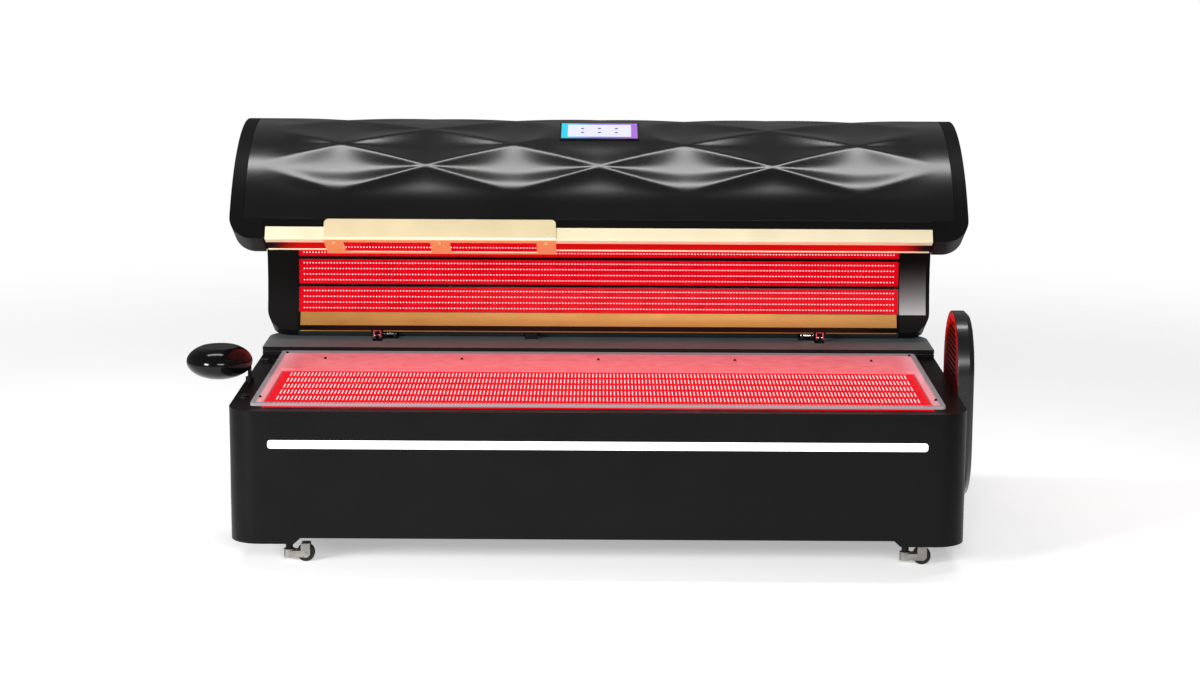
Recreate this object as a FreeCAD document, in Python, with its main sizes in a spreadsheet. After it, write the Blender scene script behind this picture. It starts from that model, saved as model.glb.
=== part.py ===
import FreeCAD, Part
import math
import os
import re
import time

# Lie-down light therapy bed, millimetres
# X runs along the bed, the front faces -Y, Z is up, the origin is on the floor under the base

doc = FreeCAD.newDocument("light_bed")
sheet = doc.addObject("Spreadsheet::Sheet", "Sizes")

sizes = {
    # base casing
    "bed_length": 2200,
    "bed_depth": 1170,
    "corner_radius": 90,
    "deck_top": 484,
    "deck_thickness": 14,
    "panel_wall": 5,
    "leg_bottom": 80,
    "skirt_lift": 18,
    "leg_span": 196,
    "slope_run": 20,
    "seam_gap": 0.3,
    "pan_bottom": 100,
    "pan_plate": 3,
    "tube_size": 25,
    "tube_inset": 50,
    "end_post_inset": 63,
    "post_inset": 750,
    "post_x": "=bed_length/2-post_inset",
    "front_tube_y": -552,
    # lying surface
    "tray_inset": 100,
    "tray_half_length": "=bed_length/2-tray_inset",
    "tray_front": -532,
    "tray_rear": 116,
    "tray_floor": 463,
    "tray_wall": 4,
    "base_board_count": 7,
    "board_inset": 15,
    "base_board_length": "=2*tray_half_length-2*board_inset",
    "board_width": 84,
    "board_pitch": 92,
    "board_thickness": 2,
    "sheet_inset": 67,
    "sheet_length": "=bed_length-2*sheet_inset",
    "sheet_front": -539,
    "sheet_rear": 295,
    "sheet_thickness": 9,
    "sheet_lift": 6,
    "sheet_corner": 12,
    "screw_head": 6,
    "screw_shank": 2.5,
    "screw_head_height": 3.5,
    "standoff_radius": 8,
    "screw_pitch": "=bed_length/5",
    "screw_rear_y": 160,
    "screw_inset": 20,
    "screw_end_x": "=sheet_length/2-screw_inset",
    "screw_front_y": -451,
    "screw_corner_y": 252,
    "screw_play": 0.1,
    "first_board_gap": 6,
    # light bar
    "bar_inset": 122.5,
    "bar_length": "=bed_length-2*bar_inset",
    "bar_height": 25,
    "bar_centre": 384,
    "bar_thickness": 9,
    "bar_corner": 9,
    "bar_proud": 1,
    # rear beam
    "beam_front": 302,
    "beam_height": 26,
    "groove_height": 4,
    "groove_depth": 5,
    "groove_lift": 11,
    "cable_hole": 9,
    # canopy
    "arch_y": 0,
    "arch_z": 515,
    "arch_radius": 557,
    "hinge_set_in": 82,
    "hinge_y": "=arch_y+arch_radius-hinge_set_in",
    "hinge_z": 525,
    "open_angle": 26.3,
    "canopy_depth": 127,
    "arch_inner": "=arch_radius-canopy_depth",
    "lip_depth": 102,
    "lip_inner": "=arch_radius-lip_depth",
    "rim_z": 522,
    "rail_height": 66,
    "rail_wall": 8,
    "rail_rib": 6,
    "rear_wall_height": 61,
    "ledge_plate": 3,
    "ledge_play": 0.4,
    "notch_length": 48,
    "notch_depth": 34,
    "notch_height": 40,
    "heel_start": 22,
    "relief": 9,
    "cap_width": 100,
    "cap_rim": 40,
    "cap_foot": 70,
    "cap_wall": 9,
    "cap_web": 10,
    "shell_wall": 19,
    "shell_inner": "=arch_radius-shell_wall",
    "diamond_margin": 315.5,
    "diamond_width": "=(bed_length/2-diamond_margin)/3",
    "diamond_row_count": 16,
    "dish_depth": 13,
    "strip_count": 13,
    "strip_front_angle": 13.5,
    "strip_rear_angle": 8.8,
    "strip_step_angle": "=(180-strip_front_angle-strip_rear_angle)/strip_count",
    "first_strip_angle": "=strip_front_angle+strip_step_angle/2",
    "strip_gap": 0.5,
    "strip_length": "=bed_length-2*cap_width-2*strip_gap",
    "strip_play": 4.2,
    "cover_thickness": 4,
    "cover_play": 2,
    "tray_width": "=2*(arch_inner+cover_thickness)*tan(strip_step_angle/2)-strip_play",
    "tray_depth": 11,
    "tray_pocket": 8,
    "tray_lip": 2.5,
    "board_play": 0.5,
    "cover_width": "=tray_width-cover_play",
    "tray_foot_y": "=(arch_inner+cover_thickness)*cos(first_strip_angle)+tray_width/2*sin(first_strip_angle)",
    "tray_foot_z": "=(arch_inner+cover_thickness)*sin(first_strip_angle)-tray_width/2*cos(first_strip_angle)",
    "rib_gap": 3,
    "rib_outer": "=shell_inner-rib_gap",
    "rib_play": 0.1,
    "rib_inner": "=sqrt((arch_inner+cover_thickness+tray_depth)^2+(tray_width/2)^2)+rib_play",
    "rib_thickness": 6,
    "rib_inset": 10,
    "rib_pitch": "=(bed_length-2*cap_width-2*rib_inset)/4",
    # trim and handle
    "trim_inset": 9,
    "trim_length": "=bed_length-2*cap_width-2*trim_inset",
    "trim_thickness": 3,
    "trim_front_height": 37,
    "trim_under": 28,
    "trim_rear_low": 16,
    "trim_rear_height": 45,
    "line_height": 8,
    "handle_inset": 283,
    "handle_left": "=-bed_length/2+handle_inset",
    "handle_length": 689,
    "handle_plate": 4,
    "handle_corner": 14,
    "handle_drop": 4.5,
    "handle_bend": 7,
    "handle_reach": 3,
    "handle_screw_height": 2,
    "handle_screw_inset": 10,
    "handle_clear": 8,
    "slot_set_in": 20,
    "slot_front": "=arch_y-arch_radius+slot_set_in",
    "slot_depth": 97,
    "slot_edge": 57,
    "slot_gap": 59,
    "slot_length": "=(handle_length-2*slot_edge-slot_gap)/2",
    "slot_a_left": "=handle_left+slot_edge",
    "slot_b_left": "=slot_a_left+slot_length+slot_gap",
    "slot_margin": 3,
    "handle_screw": 4,
    # screen
    "screen_angle": 48.8,
    "screen_width": 233,
    "screen_height": 125,
    "screen_frame": 6,
    "screen_depth": 22,
    "screen_glass": 3,
    "screen_proud": 3,
    "screen_play": 0.3,
    # hinge and lift struts
    "hinge_inset": 405,
    "hinge_x": "=bed_length/2-hinge_inset",
    "pin_radius": 6,
    "pin_play": 0.06,
    "ear_radius": 10,
    "ear_thickness": 6,
    "ear_inside": 12.5,
    "knuckle_radius": 9,
    "knuckle_half": 12,
    "foot_plate": 3,
    "foot_length": 56,
    "foot_depth": 40,
    "pin_head": 3,
    "pin_head_margin": 2,
    "arm_rise": 14,
    "arm_web": 10,
    "arm_web_depth": 16,
    "arm_bridge": 6,
    "arm_bridge_length": 70,
    "arm_bridge_depth": 32,
    "arm_foot": 9,
    "hood_inset": 876,
    "hood_x": "=-bed_length/2+hood_inset",
    "hood_half": 21,
    "hood_radius": 13,
    "hood_bore": 7,
    "strut_offset": 40,
    "strut_x": "=hinge_x+strut_offset",
    "strut_set_in": 40,
    "strut_y": "=hinge_y-strut_set_in",
    "rear_tube_y": "=strut_y",
    "strut_length": 320,
    "strut_bore_start": 140,
    "window_length": 34,
    "window_depth": 46,
    "rod_bottom": 300,
    "strut_radius": 11,
    "rod_radius": 5,
    "rod_play": 0.06,
    "eye_radius": 11,
    "eye_bore": 7.2,
    "eye_width": 10,
    "eye_neck": 8,
    "stud_y": -38,
    "stud_z": -19,
    "stud_radius": 4,
    "stud_plate": 2,
    "stud_plate_length": 26,
    "stud_plate_depth": 14,
    "stud_lug": 4,
    # casters
    "caster_inset": 170,
    "caster_set_in": 110,
    "caster_x": "=bed_length/2-caster_inset",
    "caster_y": "=bed_depth/2-caster_set_in",
    "caster_trail": 50,
    "wheel_radius": 27,
    "wheel_width": 24,
    "axle_radius": 4,
    "axle_play": 0.06,
    "swivel_play": 0.3,
    "stem_radius": 11,
    "stem_bottom": 14,
    "stem_plate": 4,
    "stem_plate_length": 80,
    "stem_plate_width": 70,
    "fork_ring_wall": 6,
    "fork_ring_height": 26,
    "fork_ring_floor": 2,
    "fork_arm_low": 14,
    "fork_arm_height": 20,
    "fork_rise": 30,
    "fork_boss": 14,
    "fork_cheek": 5,
    "fork_side_gap": 1,
    "wheel_gap": 4.5,
    "wheel_edge": 4,
    "axle_reach": 8,
    # buttons
    "button_inset": 30,
    "button_x": "=-bed_length/2+button_inset",
    "button_rear_y": 188,
    "button_front_y": -382,
    "bezel_radius": 22,
    "bezel_height": 4,
    "cap_radius": 17.5,
    "button_play": 0.3,
    "button_travel": 3,
    "button_stem": 8,
    "button_stem_drop": 19,
    "button_hole": 9,
    "button_disc": 2.5,
    "button_crown": 1.5,
    "button_taper": 6,
    "bezel_floor": 1,
    "bezel_taper": 2,
    # end tower
    "tower_thickness": 52,
    "tower_width": 346,
    "tower_y": -113,
    "tower_bottom": 120,
    "tower_top": 712,
    "tower_chamfer": 14,
    "tower_wall": 5,
    "grille_plate": 6,
    "grille_count": 11,
    "grille_pitch": 17,
    "grille_low": 504,
    "grille_length": 210,
    "grille_height": 8,
    "grille_margin": 34,
    # fans
    "fan_size": 120,
    "fan_depth": 25,
    "fan_bore": 56,
    "blade_tip": 54,
    "fan_hub": 20,
    "fan_shaft": 4,
    "fan_gap": 0.3,
    "spoke_width": 6,
    "spoke_thickness": 3,
    "blade_count": 7,
    "blade_lean_angle": 35,
    "blade_thickness": 2.5,
    "blade_chord": 13,
    "blade_root": 3,
    "guard_count": 5,
    "guard_bar": 5,
    "guard_pitch": 22,
    "guard_overlap": 4,
    "vent_count": 14,
    "vent_inset": 460,
    "vent_pitch": 20,
    "vent_width": 8,
    "vent_height": 70,
    "fan_inset": 580,
    "fan_x": "=bed_length/2-fan_inset",
    "fan_z": 290,
    "tower_fan_z": 600,
    # pod
    "stalk_inset": 16,
    "stalk_x": "=-bed_length/2+stalk_inset",
    "pod_reach": 93,
    "pod_x": "=stalk_x-pod_reach",
    "pod_y": -146,
    "pod_z": 549,
    "pod_radius": 102,
    "pod_half_height": 56,
    "pod_foot": 52,
    "pod_split": 9,
    "pod_wall": 11,
    "pod_dish_depth": 16,
    "pod_dish_margin": 30,
    "stalk_depth": 10,
    "stalk_radius": 6,
    "collar_radius": 13,
    "collar_height": 16,
    "collar_floor": 3,
    "knob_radius": 5,
    "knob_reach": 8,
    "knob_root": 6,
    # electrics
    "inlet_inset": 200,
    "inlet_x": "=bed_length/2-inlet_inset",
    "inlet_z": 160,
    "inlet_width": 47.6,
    "inlet_height": 27.6,
    "inlet_depth": 30,
    "inlet_play": 0.2,
    "flange_margin": 5,
    "flange_plate": 3,
    "well_width": 38,
    "well_height": 19,
    "well_depth": 18,
    "contact_count": 3,
    "contact_width": 2,
    "contact_height": 6,
    "contact_length": 16,
    "contact_pitch": 9,
    "supply_length": 220,
    "supply_width": 115,
    "supply_height": 60,
    "supply_front": -250,
    "supply_gap": 57,
    "supply_pitch": 280,
    "control_length": 260,
    "control_width": 180,
    "control_plate": 2,
    "control_lift": 8,
    "control_front": -120,
    "control_foot": 4,
    "control_foot_inset": 10,
    "chip_count": 3,
    "chip_size": 40,
    "chip_height": 12,
    "chip_pitch": 70,
    "chip_inset": 40,
    "chip_set_in": 80,
}

for number, (alias, amount) in enumerate(sizes.items(), 1):
    sheet.set("A%d" % number, alias)
    sheet.set("B%d" % number, str(amount))
    sheet.setAlias("B%d" % number, alias)
doc.recompute()

pieces = []


def size(alias):
    return float(sheet.get(alias))


def linked(text):
    def named(found):
        word = found.group(0)
        return "Sizes." + word if word in sizes else word

    return re.sub(r"[a-z_]+", named, text)


def bind(item, values):
    for prop, text in values.items():
        item.setExpression(prop, linked(text))


def place(item, at):
    bind(item, {"Placement.Base." + letter: text for letter, text in zip("xyz", at)})


def box(name, extent, corner):
    item = doc.addObject("Part::Box", name)
    bind(item, dict(zip(("Length", "Width", "Height"), extent)))
    place(item, corner)
    return item


turns = {
    "x": FreeCAD.Rotation(FreeCAD.Vector(0, 1, 0), 90),
    "y": FreeCAD.Rotation(FreeCAD.Vector(1, 0, 0), -90),
    "z": FreeCAD.Rotation(),
}


def cylinder(name, radius, length, start, along="z"):
    item = doc.addObject("Part::Cylinder", name)
    item.Placement = FreeCAD.Placement(FreeCAD.Vector(), turns[along])
    bind(item, {"Radius": radius, "Height": length})
    place(item, start)
    return item


def cone(name, low, high, length, start, along="z"):
    item = doc.addObject("Part::Cone", name)
    item.Placement = FreeCAD.Placement(FreeCAD.Vector(), turns[along])
    bind(item, {"Radius1": low, "Radius2": high, "Height": length})
    place(item, start)
    return item


def ellipsoid(name, upright, across, centre):
    item = doc.addObject("Part::Ellipsoid", name)
    bind(item, {"Radius1": upright, "Radius2": across, "Radius3": across})
    item.Angle1 = -90
    item.Angle2 = 90
    item.Angle3 = 360
    place(item, centre)
    return item


def fuse(name, *items):
    item = doc.addObject("Part::MultiFuse", name)
    item.Shapes = list(items)
    item.Refine = True
    return item


def common(name, *items):
    item = doc.addObject("Part::MultiCommon", name)
    item.Shapes = list(items)
    item.Refine = True
    return item


def cut(name, base, *tools):
    item = doc.addObject("Part::Cut", name)
    item.Base = base
    item.Tool = tools[0] if len(tools) == 1 else fuse(name + "_tools", *tools)
    item.Refine = True
    return item


def group(name, items):
    item = doc.addObject("Part::Compound", name)
    item.Links = list(items)
    return item


def rounded(name, base, radius, wanted, kind="Part::Fillet"):
    doc.recompute()
    item = doc.addObject(kind, name)
    item.Base = base
    chosen = [number for number, edge in enumerate(base.Shape.Edges, 1) if wanted(edge)]
    item.Edges = [(number, size(radius), size(radius)) for number in chosen]
    return item


def upright(edge):
    return abs(edge.tangentAt(edge.FirstParameter).z) > 0.999


def keep(item, name):
    item.Label = name
    pieces.append(item)
    return item


# pieces of the canopy are drawn about the hinge axis and then swung open
def on_canopy(item, name):
    swing = FreeCAD.Rotation(FreeCAD.Vector(-1, 0, 0), size("open_angle"))
    item.Placement = FreeCAD.Placement(FreeCAD.Vector(0, size("hinge_y"), size("hinge_z")), swing)
    bind(item, {
        "Placement.Base.y": "hinge_y",
        "Placement.Base.z": "hinge_z",
        "Placement.Rotation.Angle": "open_angle",
    })
    return keep(item, name)


# a box with its middle on a ray from the arch's centre, its outer face at the given radius
def ray_box(name, extent, outer, turn):
    item = doc.addObject("Part::Box", name)
    bind(item, dict(zip(("Length", "Width", "Height"), extent)))
    doc.recompute()
    angle = math.radians(turn)
    radial = FreeCAD.Vector(0, -math.cos(angle), math.sin(angle))
    lean = FreeCAD.Rotation(FreeCAD.Vector(1, 0, 0), 90 - turn)
    centre = FreeCAD.Vector(0, size("arch_y") - size("hinge_y"), size("arch_z") - size("hinge_z"))
    middle = FreeCAD.Vector(-item.Length.Value / 2, -item.Width.Value / 2, -item.Height.Value)
    item.Placement = FreeCAD.Placement(centre + radial * outer + lean.multVec(middle), lean)
    return item


arch_start_y = "arch_y-hinge_y"
arch_start_z = "arch_z-hinge_z"
rim_local = "rim_z-hinge_z"


# half of a hollow barrel along X, standing on the canopy's rim
def half_ring(name, inner, outer, left, length, low=rim_local):
    barrel = cylinder(name + "_outer", outer, length, (left, arch_start_y, arch_start_z), "x")
    bore = cylinder(name + "_bore", inner, length + "+2", (left + "-1", arch_start_y, arch_start_z),
                    "x")
    above = box(name + "_above", (length, "2*(%s)+2" % outer, outer),
                (left, arch_start_y + "-(%s)-1" % outer, low))
    return common(name, cut(name + "_tube", barrel, bore), above)


# casing of the base

def casing_ring(name):
    tall = "deck_top-deck_thickness-leg_bottom"
    outer = box(name + "_box", ("bed_length", "bed_depth", tall),
                ("-bed_length/2", "-bed_depth/2", "leg_bottom"))
    inner = box(
        name + "_hollow",
        ("bed_length-2*panel_wall", "bed_depth-2*panel_wall", tall + "+2"),
        ("-bed_length/2+panel_wall", "-bed_depth/2+panel_wall", "leg_bottom-1"),
    )
    sheet_outer = rounded(name + "_outer", outer, "corner_radius", upright)
    sheet_inner = rounded(name + "_inner", inner, "corner_radius", upright)
    bend = size("corner_radius") - size("panel_wall")
    sheet_inner.Edges = [(edge[0], bend, bend) for edge in sheet_inner.Edges]
    return cut(name, sheet_outer, sheet_inner)


def skirt_arch(name):
    item = doc.addObject("Part::Wedge", name)
    item.Placement = FreeCAD.Placement(FreeCAD.Vector(), FreeCAD.Rotation(FreeCAD.Vector(1, 0, 0), 90))
    wide = "bed_length/2-leg_span"
    bind(item, {
        "Xmin": "-(%s)" % wide, "Xmax": wide,
        "X2min": "-(%s-slope_run)" % wide, "X2max": wide + "-slope_run",
        "Ymin": "leg_bottom", "Ymax": "leg_bottom+skirt_lift",
        "Zmin": "-bed_depth", "Zmax": "bed_depth", "Z2min": "-bed_depth", "Z2max": "bed_depth",
    })
    return item


def bar_block(name, grow, front, depth):
    block = box(
        name + "_block",
        ("bar_length+2*(%s)" % grow, depth, "bar_height+2*(%s)" % grow),
        ("-bar_length/2-(%s)" % grow, front, "bar_centre-bar_height/2-(%s)" % grow),
    )
    return rounded(name, block, "bar_corner",
                   lambda edge: abs(edge.tangentAt(edge.FirstParameter).y) > 0.999)


def casing_panels():
    ring = casing_ring("casing")
    arch = skirt_arch("skirt_arch")
    deep = "corner_radius"
    tall = "deck_top-leg_bottom"
    front_zone = box("front_zone", ("bed_length", deep, tall),
                     ("-bed_length/2", "-bed_depth/2", "leg_bottom"))
    rear_zone = box("rear_zone", ("bed_length", deep, tall),
                    ("-bed_length/2", "bed_depth/2-corner_radius", "leg_bottom"))
    slot = bar_block("bar_slot", "seam_gap", "-bed_depth/2-1", "panel_wall+2")
    keep(cut("front_skin", common("front_wrap", ring, front_zone), arch, slot), "front_panel")

    fan_hole = cylinder("fan_hole", "fan_bore", "panel_wall+2",
                        ("fan_x", "bed_depth/2-panel_wall-1", "fan_z"), "y")
    bars = []
    for n in range(int(size("guard_count"))):
        level = "fan_z-guard_bar/2+(%d-(guard_count-1)/2)*guard_pitch" % n
        bars.append(box("fan_bar_%d" % n, ("2*fan_bore+2*guard_overlap", "panel_wall", "guard_bar"),
                        ("fan_x-fan_bore-guard_overlap", "bed_depth/2-panel_wall", level)))
    inlet_hole = box(
        "inlet_hole",
        ("inlet_width+2*inlet_play", "panel_wall+2", "inlet_height+2*inlet_play"),
        ("inlet_x-inlet_width/2-inlet_play", "bed_depth/2-panel_wall-1",
         "inlet_z-inlet_height/2-inlet_play"),
    )
    vents = [
        box("vent_%d" % n, ("vent_width", "panel_wall+2", "vent_height"),
            ("-bed_length/2+vent_inset+%d*vent_pitch" % n, "bed_depth/2-panel_wall-1",
             "fan_z-vent_height/2"))
        for n in range(int(size("vent_count")))
    ]
    opened = cut("rear_opened", common("rear_wrap", ring, rear_zone), arch, fan_hole, inlet_hole,
                 *vents)
    keep(fuse("rear_skin", opened, *bars), "rear_panel")

    ends = []
    for side, start in (("left", "-bed_length/2"), ("right", "bed_length/2-panel_wall")):
        ends.append(box(
            side + "_end",
            ("panel_wall", "bed_depth-2*corner_radius-2*seam_gap",
             "deck_top-deck_thickness-leg_bottom"),
            (start, "-bed_depth/2+corner_radius+seam_gap", "leg_bottom"),
        ))
    keep(group("end_skins", ends), "end_panels")


def strut_window(name, side, low, tall):
    return box(name, ("window_length", "window_depth", tall),
               ("%d*strut_x-window_length/2" % side, "strut_y-window_depth/2", low))


def deck():
    slab = box(
        "deck_slab",
        ("bed_length", "bed_depth", "deck_thickness"),
        ("-bed_length/2", "-bed_depth/2", "deck_top-deck_thickness"),
    )
    plate = rounded("deck_plate", slab, "corner_radius", upright)
    well = box(
        "deck_well",
        ("2*tray_half_length+2*tray_wall", "tray_rear-tray_front+2*tray_wall", "deck_top-tray_floor"),
        ("-tray_half_length-tray_wall", "tray_front-tray_wall", "tray_floor-tray_wall"),
    )
    pocket = box(
        "deck_pocket",
        ("2*tray_half_length", "tray_rear-tray_front", "deck_top-tray_floor+1"),
        ("-tray_half_length", "tray_front", "tray_floor"),
    )
    holes = [strut_window("deck_window_%d" % side, side, "deck_top-deck_thickness-1",
                          "deck_thickness+2") for side in (-1, 1)]
    holes.append(cylinder("deck_cable", "cable_hole", "deck_thickness+2",
                          ("hood_x", "hinge_y", "deck_top-deck_thickness-1")))
    for label in ("rear", "front"):
        holes.append(cylinder("deck_button_" + label, "button_hole", "deck_thickness+2",
                              ("button_x", "button_%s_y" % label, "deck_top-deck_thickness-1")))
    keep(cut("deck_shape", fuse("deck_body", plate, well), pocket, *holes), "deck")


def rear_beam():
    block = box(
        "beam_block",
        ("bed_length", "bed_depth/2-beam_front", "beam_height"),
        ("-bed_length/2", "beam_front", "deck_top"),
    )
    shaped = rounded("beam_round", block, "corner_radius",
                     lambda edge: upright(edge) and edge.Vertexes[0].Point.y > size("beam_front") + 1)
    tools = [box("beam_groove", ("bed_length+2", "groove_depth+1", "groove_height"),
                 ("-bed_length/2-1", "beam_front-1", "deck_top+groove_lift"))]
    tools += [strut_window("beam_window_%d" % side, side, "deck_top-1",
                           "beam_height+2") for side in (-1, 1)]
    tools.append(cylinder("beam_cable", "cable_hole", "beam_height+2", ("hood_x", "hinge_y", "deck_top-1")))
    keep(cut("beam_shape", shaped, *tools), "rear_beam")


def base_pan():
    inset = "panel_wall+seam_gap"
    slab = box(
        "pan_slab",
        ("bed_length-2*(%s)" % inset, "bed_depth-2*(%s)" % inset, "pan_plate"),
        ("-bed_length/2+" + inset, "-bed_depth/2+" + inset, "pan_bottom"),
    )
    keep(rounded("pan_round", slab, "corner_radius", upright), "base_pan")


def chassis():
    floor = "pan_bottom+pan_plate"
    under_deck = "deck_top-deck_thickness-pan_bottom-pan_plate"
    under_well = "tray_floor-tray_wall-tube_size"
    span = "rear_tube_y-front_tube_y"
    columns = ("-bed_length/2+end_post_inset", "-post_x", "post_x", "bed_length/2-end_post_inset")
    bars = []
    for label, row in (("front", "front_tube_y"), ("rear", "rear_tube_y")):
        bars.append(box("tube_" + label, ("bed_length-2*tube_inset", "tube_size", "tube_size"),
                        ("-bed_length/2+tube_inset", row + "-tube_size/2", floor)))
        for n, column in enumerate(columns):
            if label == "front" and n in (0, 3):
                continue
            bars.append(box("post_%s_%d" % (label, n), ("tube_size", "tube_size", under_deck),
                            (column + "-tube_size/2", row + "-tube_size/2", floor)))
    for n, column in enumerate(columns):
        bars.append(box("cross_%d" % n, ("tube_size", span, "tube_size"),
                        (column + "-tube_size/2", "front_tube_y", floor)))
    for n, column in enumerate(("-post_x", "post_x")):
        bars.append(box("bearer_%d" % n, ("tube_size", span, "tube_size"),
                        (column + "-tube_size/2", "front_tube_y", under_well)))
    keep(fuse("chassis_weld", *bars), "chassis")


# lying surface

def base_boards():
    boards = []
    for n in range(int(size("base_board_count"))):
        boards.append(box(
            "base_board_%d" % n,
            ("base_board_length", "board_width", "board_thickness"),
            ("-base_board_length/2", "tray_front+first_board_gap+%d*board_pitch" % n,
             "tray_floor"),
        ))
    keep(group("base_board_set", boards), "base_led_boards")


def screw_places():
    places = [("%d*screw_pitch" % n, "screw_rear_y") for n in (-2, -1, 0, 1, 2)]
    for side in (-1, 1):
        places.append(("%d*screw_end_x" % side, "screw_front_y"))
        places.append(("%d*screw_end_x" % side, "screw_corner_y"))
    return places


def acrylic_sheet():
    low = "deck_top+sheet_lift"
    slab = box("sheet_slab", ("sheet_length", "sheet_rear-sheet_front", "sheet_thickness"),
               ("-sheet_length/2", "sheet_front", low))
    plate = rounded("sheet_round", slab, "sheet_corner", upright)
    holes = []
    posts = []
    screws = []
    for n, (across, along) in enumerate(screw_places()):
        top = low + "+sheet_thickness"
        holes.append(cylinder("sheet_hole_%d" % n, "screw_shank+screw_play", "sheet_thickness+2",
                              (across, along, low + "-1")))
        holes.append(cylinder("sheet_sink_%d" % n, "screw_head+screw_play", "screw_head_height+1",
                              (across, along, top + "-screw_head_height")))
        post = cylinder("post_body_%d" % n, "standoff_radius", "sheet_lift",
                        (across, along, "deck_top"))
        bore = cylinder("post_bore_%d" % n, "screw_shank+screw_play", "sheet_lift+2",
                        (across, along, "deck_top-1"))
        posts.append(cut("standoff_%d" % n, post, bore))
        shank = cylinder("screw_shank_%d" % n, "screw_shank", "sheet_thickness+sheet_lift",
                         (across, along, "deck_top"))
        head = cylinder("screw_head_%d" % n, "screw_head", "screw_head_height",
                        (across, along, top + "-screw_head_height"))
        screws.append(fuse("screw_%d" % n, shank, head))
    keep(cut("sheet_shape", plate, *holes), "acrylic_sheet")
    keep(group("standoff_set", posts), "sheet_standoffs")
    keep(group("screw_set", screws), "sheet_screws")


def light_bar():
    keep(bar_block("bar_lens", "0", "-bed_depth/2-bar_proud", "bar_thickness"), "light_bar_lens")


# inside the base

def electrics():
    power_supplies()
    control_board()
    power_inlet()


def power_supplies():
    floor = "pan_bottom+pan_plate"
    first = "-bed_length/2+end_post_inset+supply_gap"
    places = (first, first + "+supply_pitch", "post_x-supply_gap-supply_length", "post_x+supply_gap")
    supplies = [
        box("supply_%d" % n, ("supply_length", "supply_width", "supply_height"),
            (left, "supply_front", floor))
        for n, left in enumerate(places)
    ]
    keep(group("supply_set", supplies), "power_supplies")


def control_board():
    floor = "pan_bottom+pan_plate"
    left = "post_x+supply_gap+supply_pitch"
    board = box("board_plate", ("control_length", "control_width", "control_plate"),
                (left, "control_front", floor + "+control_lift"))
    feet = []
    for n, across in enumerate(("+control_foot_inset", "+control_length-control_foot_inset")):
        for row, along in enumerate(("+control_foot_inset", "+control_width-control_foot_inset")):
            feet.append(cylinder("board_foot_%d_%d" % (n, row), "control_foot", "control_lift",
                                 (left + across, "control_front" + along, floor)))
    chips = [
        box("board_chip_%d" % n, ("chip_size", "chip_size", "chip_height"),
            (left + "+chip_inset+%d*chip_pitch" % n, "control_front+chip_set_in",
             floor + "+control_lift+control_plate"))
        for n in range(int(size("chip_count")))
    ]
    keep(fuse("board_unit", board, *feet, *chips), "control_board")


def power_inlet():
    back = "bed_depth/2"
    flange = box(
        "inlet_flange",
        ("inlet_width+2*flange_margin", "flange_plate", "inlet_height+2*flange_margin"),
        ("inlet_x-inlet_width/2-flange_margin", back, "inlet_z-inlet_height/2-flange_margin"),
    )
    body = box("inlet_body", ("inlet_width", "inlet_depth", "inlet_height"),
               ("inlet_x-inlet_width/2", back + "-inlet_depth", "inlet_z-inlet_height/2"))
    well = box("inlet_well", ("well_width", "well_depth+flange_plate+1", "well_height"),
               ("inlet_x-well_width/2", back + "-well_depth", "inlet_z-well_height/2"))
    blades = []
    for n in range(int(size("contact_count"))):
        across = "inlet_x-contact_width/2+(%d-(contact_count-1)/2)*contact_pitch" % n
        blades.append(box("inlet_blade_%d" % n,
                          ("contact_width", "contact_length", "contact_height"),
                          (across, back + "-well_depth-1", "inlet_z-contact_height/2")))
    case = cut("inlet_case", fuse("inlet_block", flange, body), well)
    keep(fuse("inlet_unit", case, *blades), "power_inlet")


# fan drawn about its own axis, air out along +Z
def fan(name, frame_name, rotor_name, at, rotation):
    shell = box(name + "_shell", ("fan_size", "fan_size", "fan_depth"),
                ("-fan_size/2", "-fan_size/2", "0"))
    bore = cylinder(name + "_bore", "fan_bore", "fan_depth+2", ("0", "0", "-1"))
    reach = "2*fan_bore+2*spoke_thickness"
    start = "-fan_bore-spoke_thickness"
    spokes = [
        box(name + "_spoke_x", (reach, "spoke_width", "spoke_thickness"), (start, "-spoke_width/2", "0")),
        box(name + "_spoke_y", ("spoke_width", reach, "spoke_thickness"), ("-spoke_width/2", start, "0")),
        cylinder(name + "_mount", "fan_hub", "spoke_thickness", ("0", "0", "0")),
        cylinder(name + "_shaft", "fan_shaft", "fan_depth-spoke_thickness-2", ("0", "0", "0")),
    ]
    frame = fuse(name + "_frame", cut(name + "_case", shell, bore), *spokes)
    hub = cylinder(name + "_hub", "fan_hub", "fan_depth-2*spoke_thickness-1",
                   ("0", "0", "spoke_thickness+fan_gap"))
    blades = []
    count = int(size("blade_count"))
    for n in range(count):
        turn = 2 * math.pi * n / count
        root = "(fan_hub-blade_root)*(%.6f)"
        blade = box(name + "_blade_%d" % n,
                    ("blade_tip-fan_hub+blade_root", "blade_thickness", "blade_chord"),
                    (root % math.cos(turn), root % math.sin(turn), "2*spoke_thickness"))
        swing = FreeCAD.Rotation(FreeCAD.Vector(0, 0, 1), math.degrees(turn))
        lean = FreeCAD.Rotation(FreeCAD.Vector(1, 0, 0), size("blade_lean_angle"))
        blade.Placement = FreeCAD.Placement(FreeCAD.Vector(), swing * lean)
        blades.append(blade)
    eye = cylinder(name + "_eye", "fan_shaft+pin_play", "fan_depth", ("0", "0", "0"))
    rotor = cut(name + "_rotor", fuse(name + "_wheel", hub, *blades), eye)
    for item, label in ((frame, frame_name), (rotor, rotor_name)):
        item.Placement = FreeCAD.Placement(FreeCAD.Vector(), rotation)
        place(item, at)
        keep(item, label)


# casters

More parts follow.
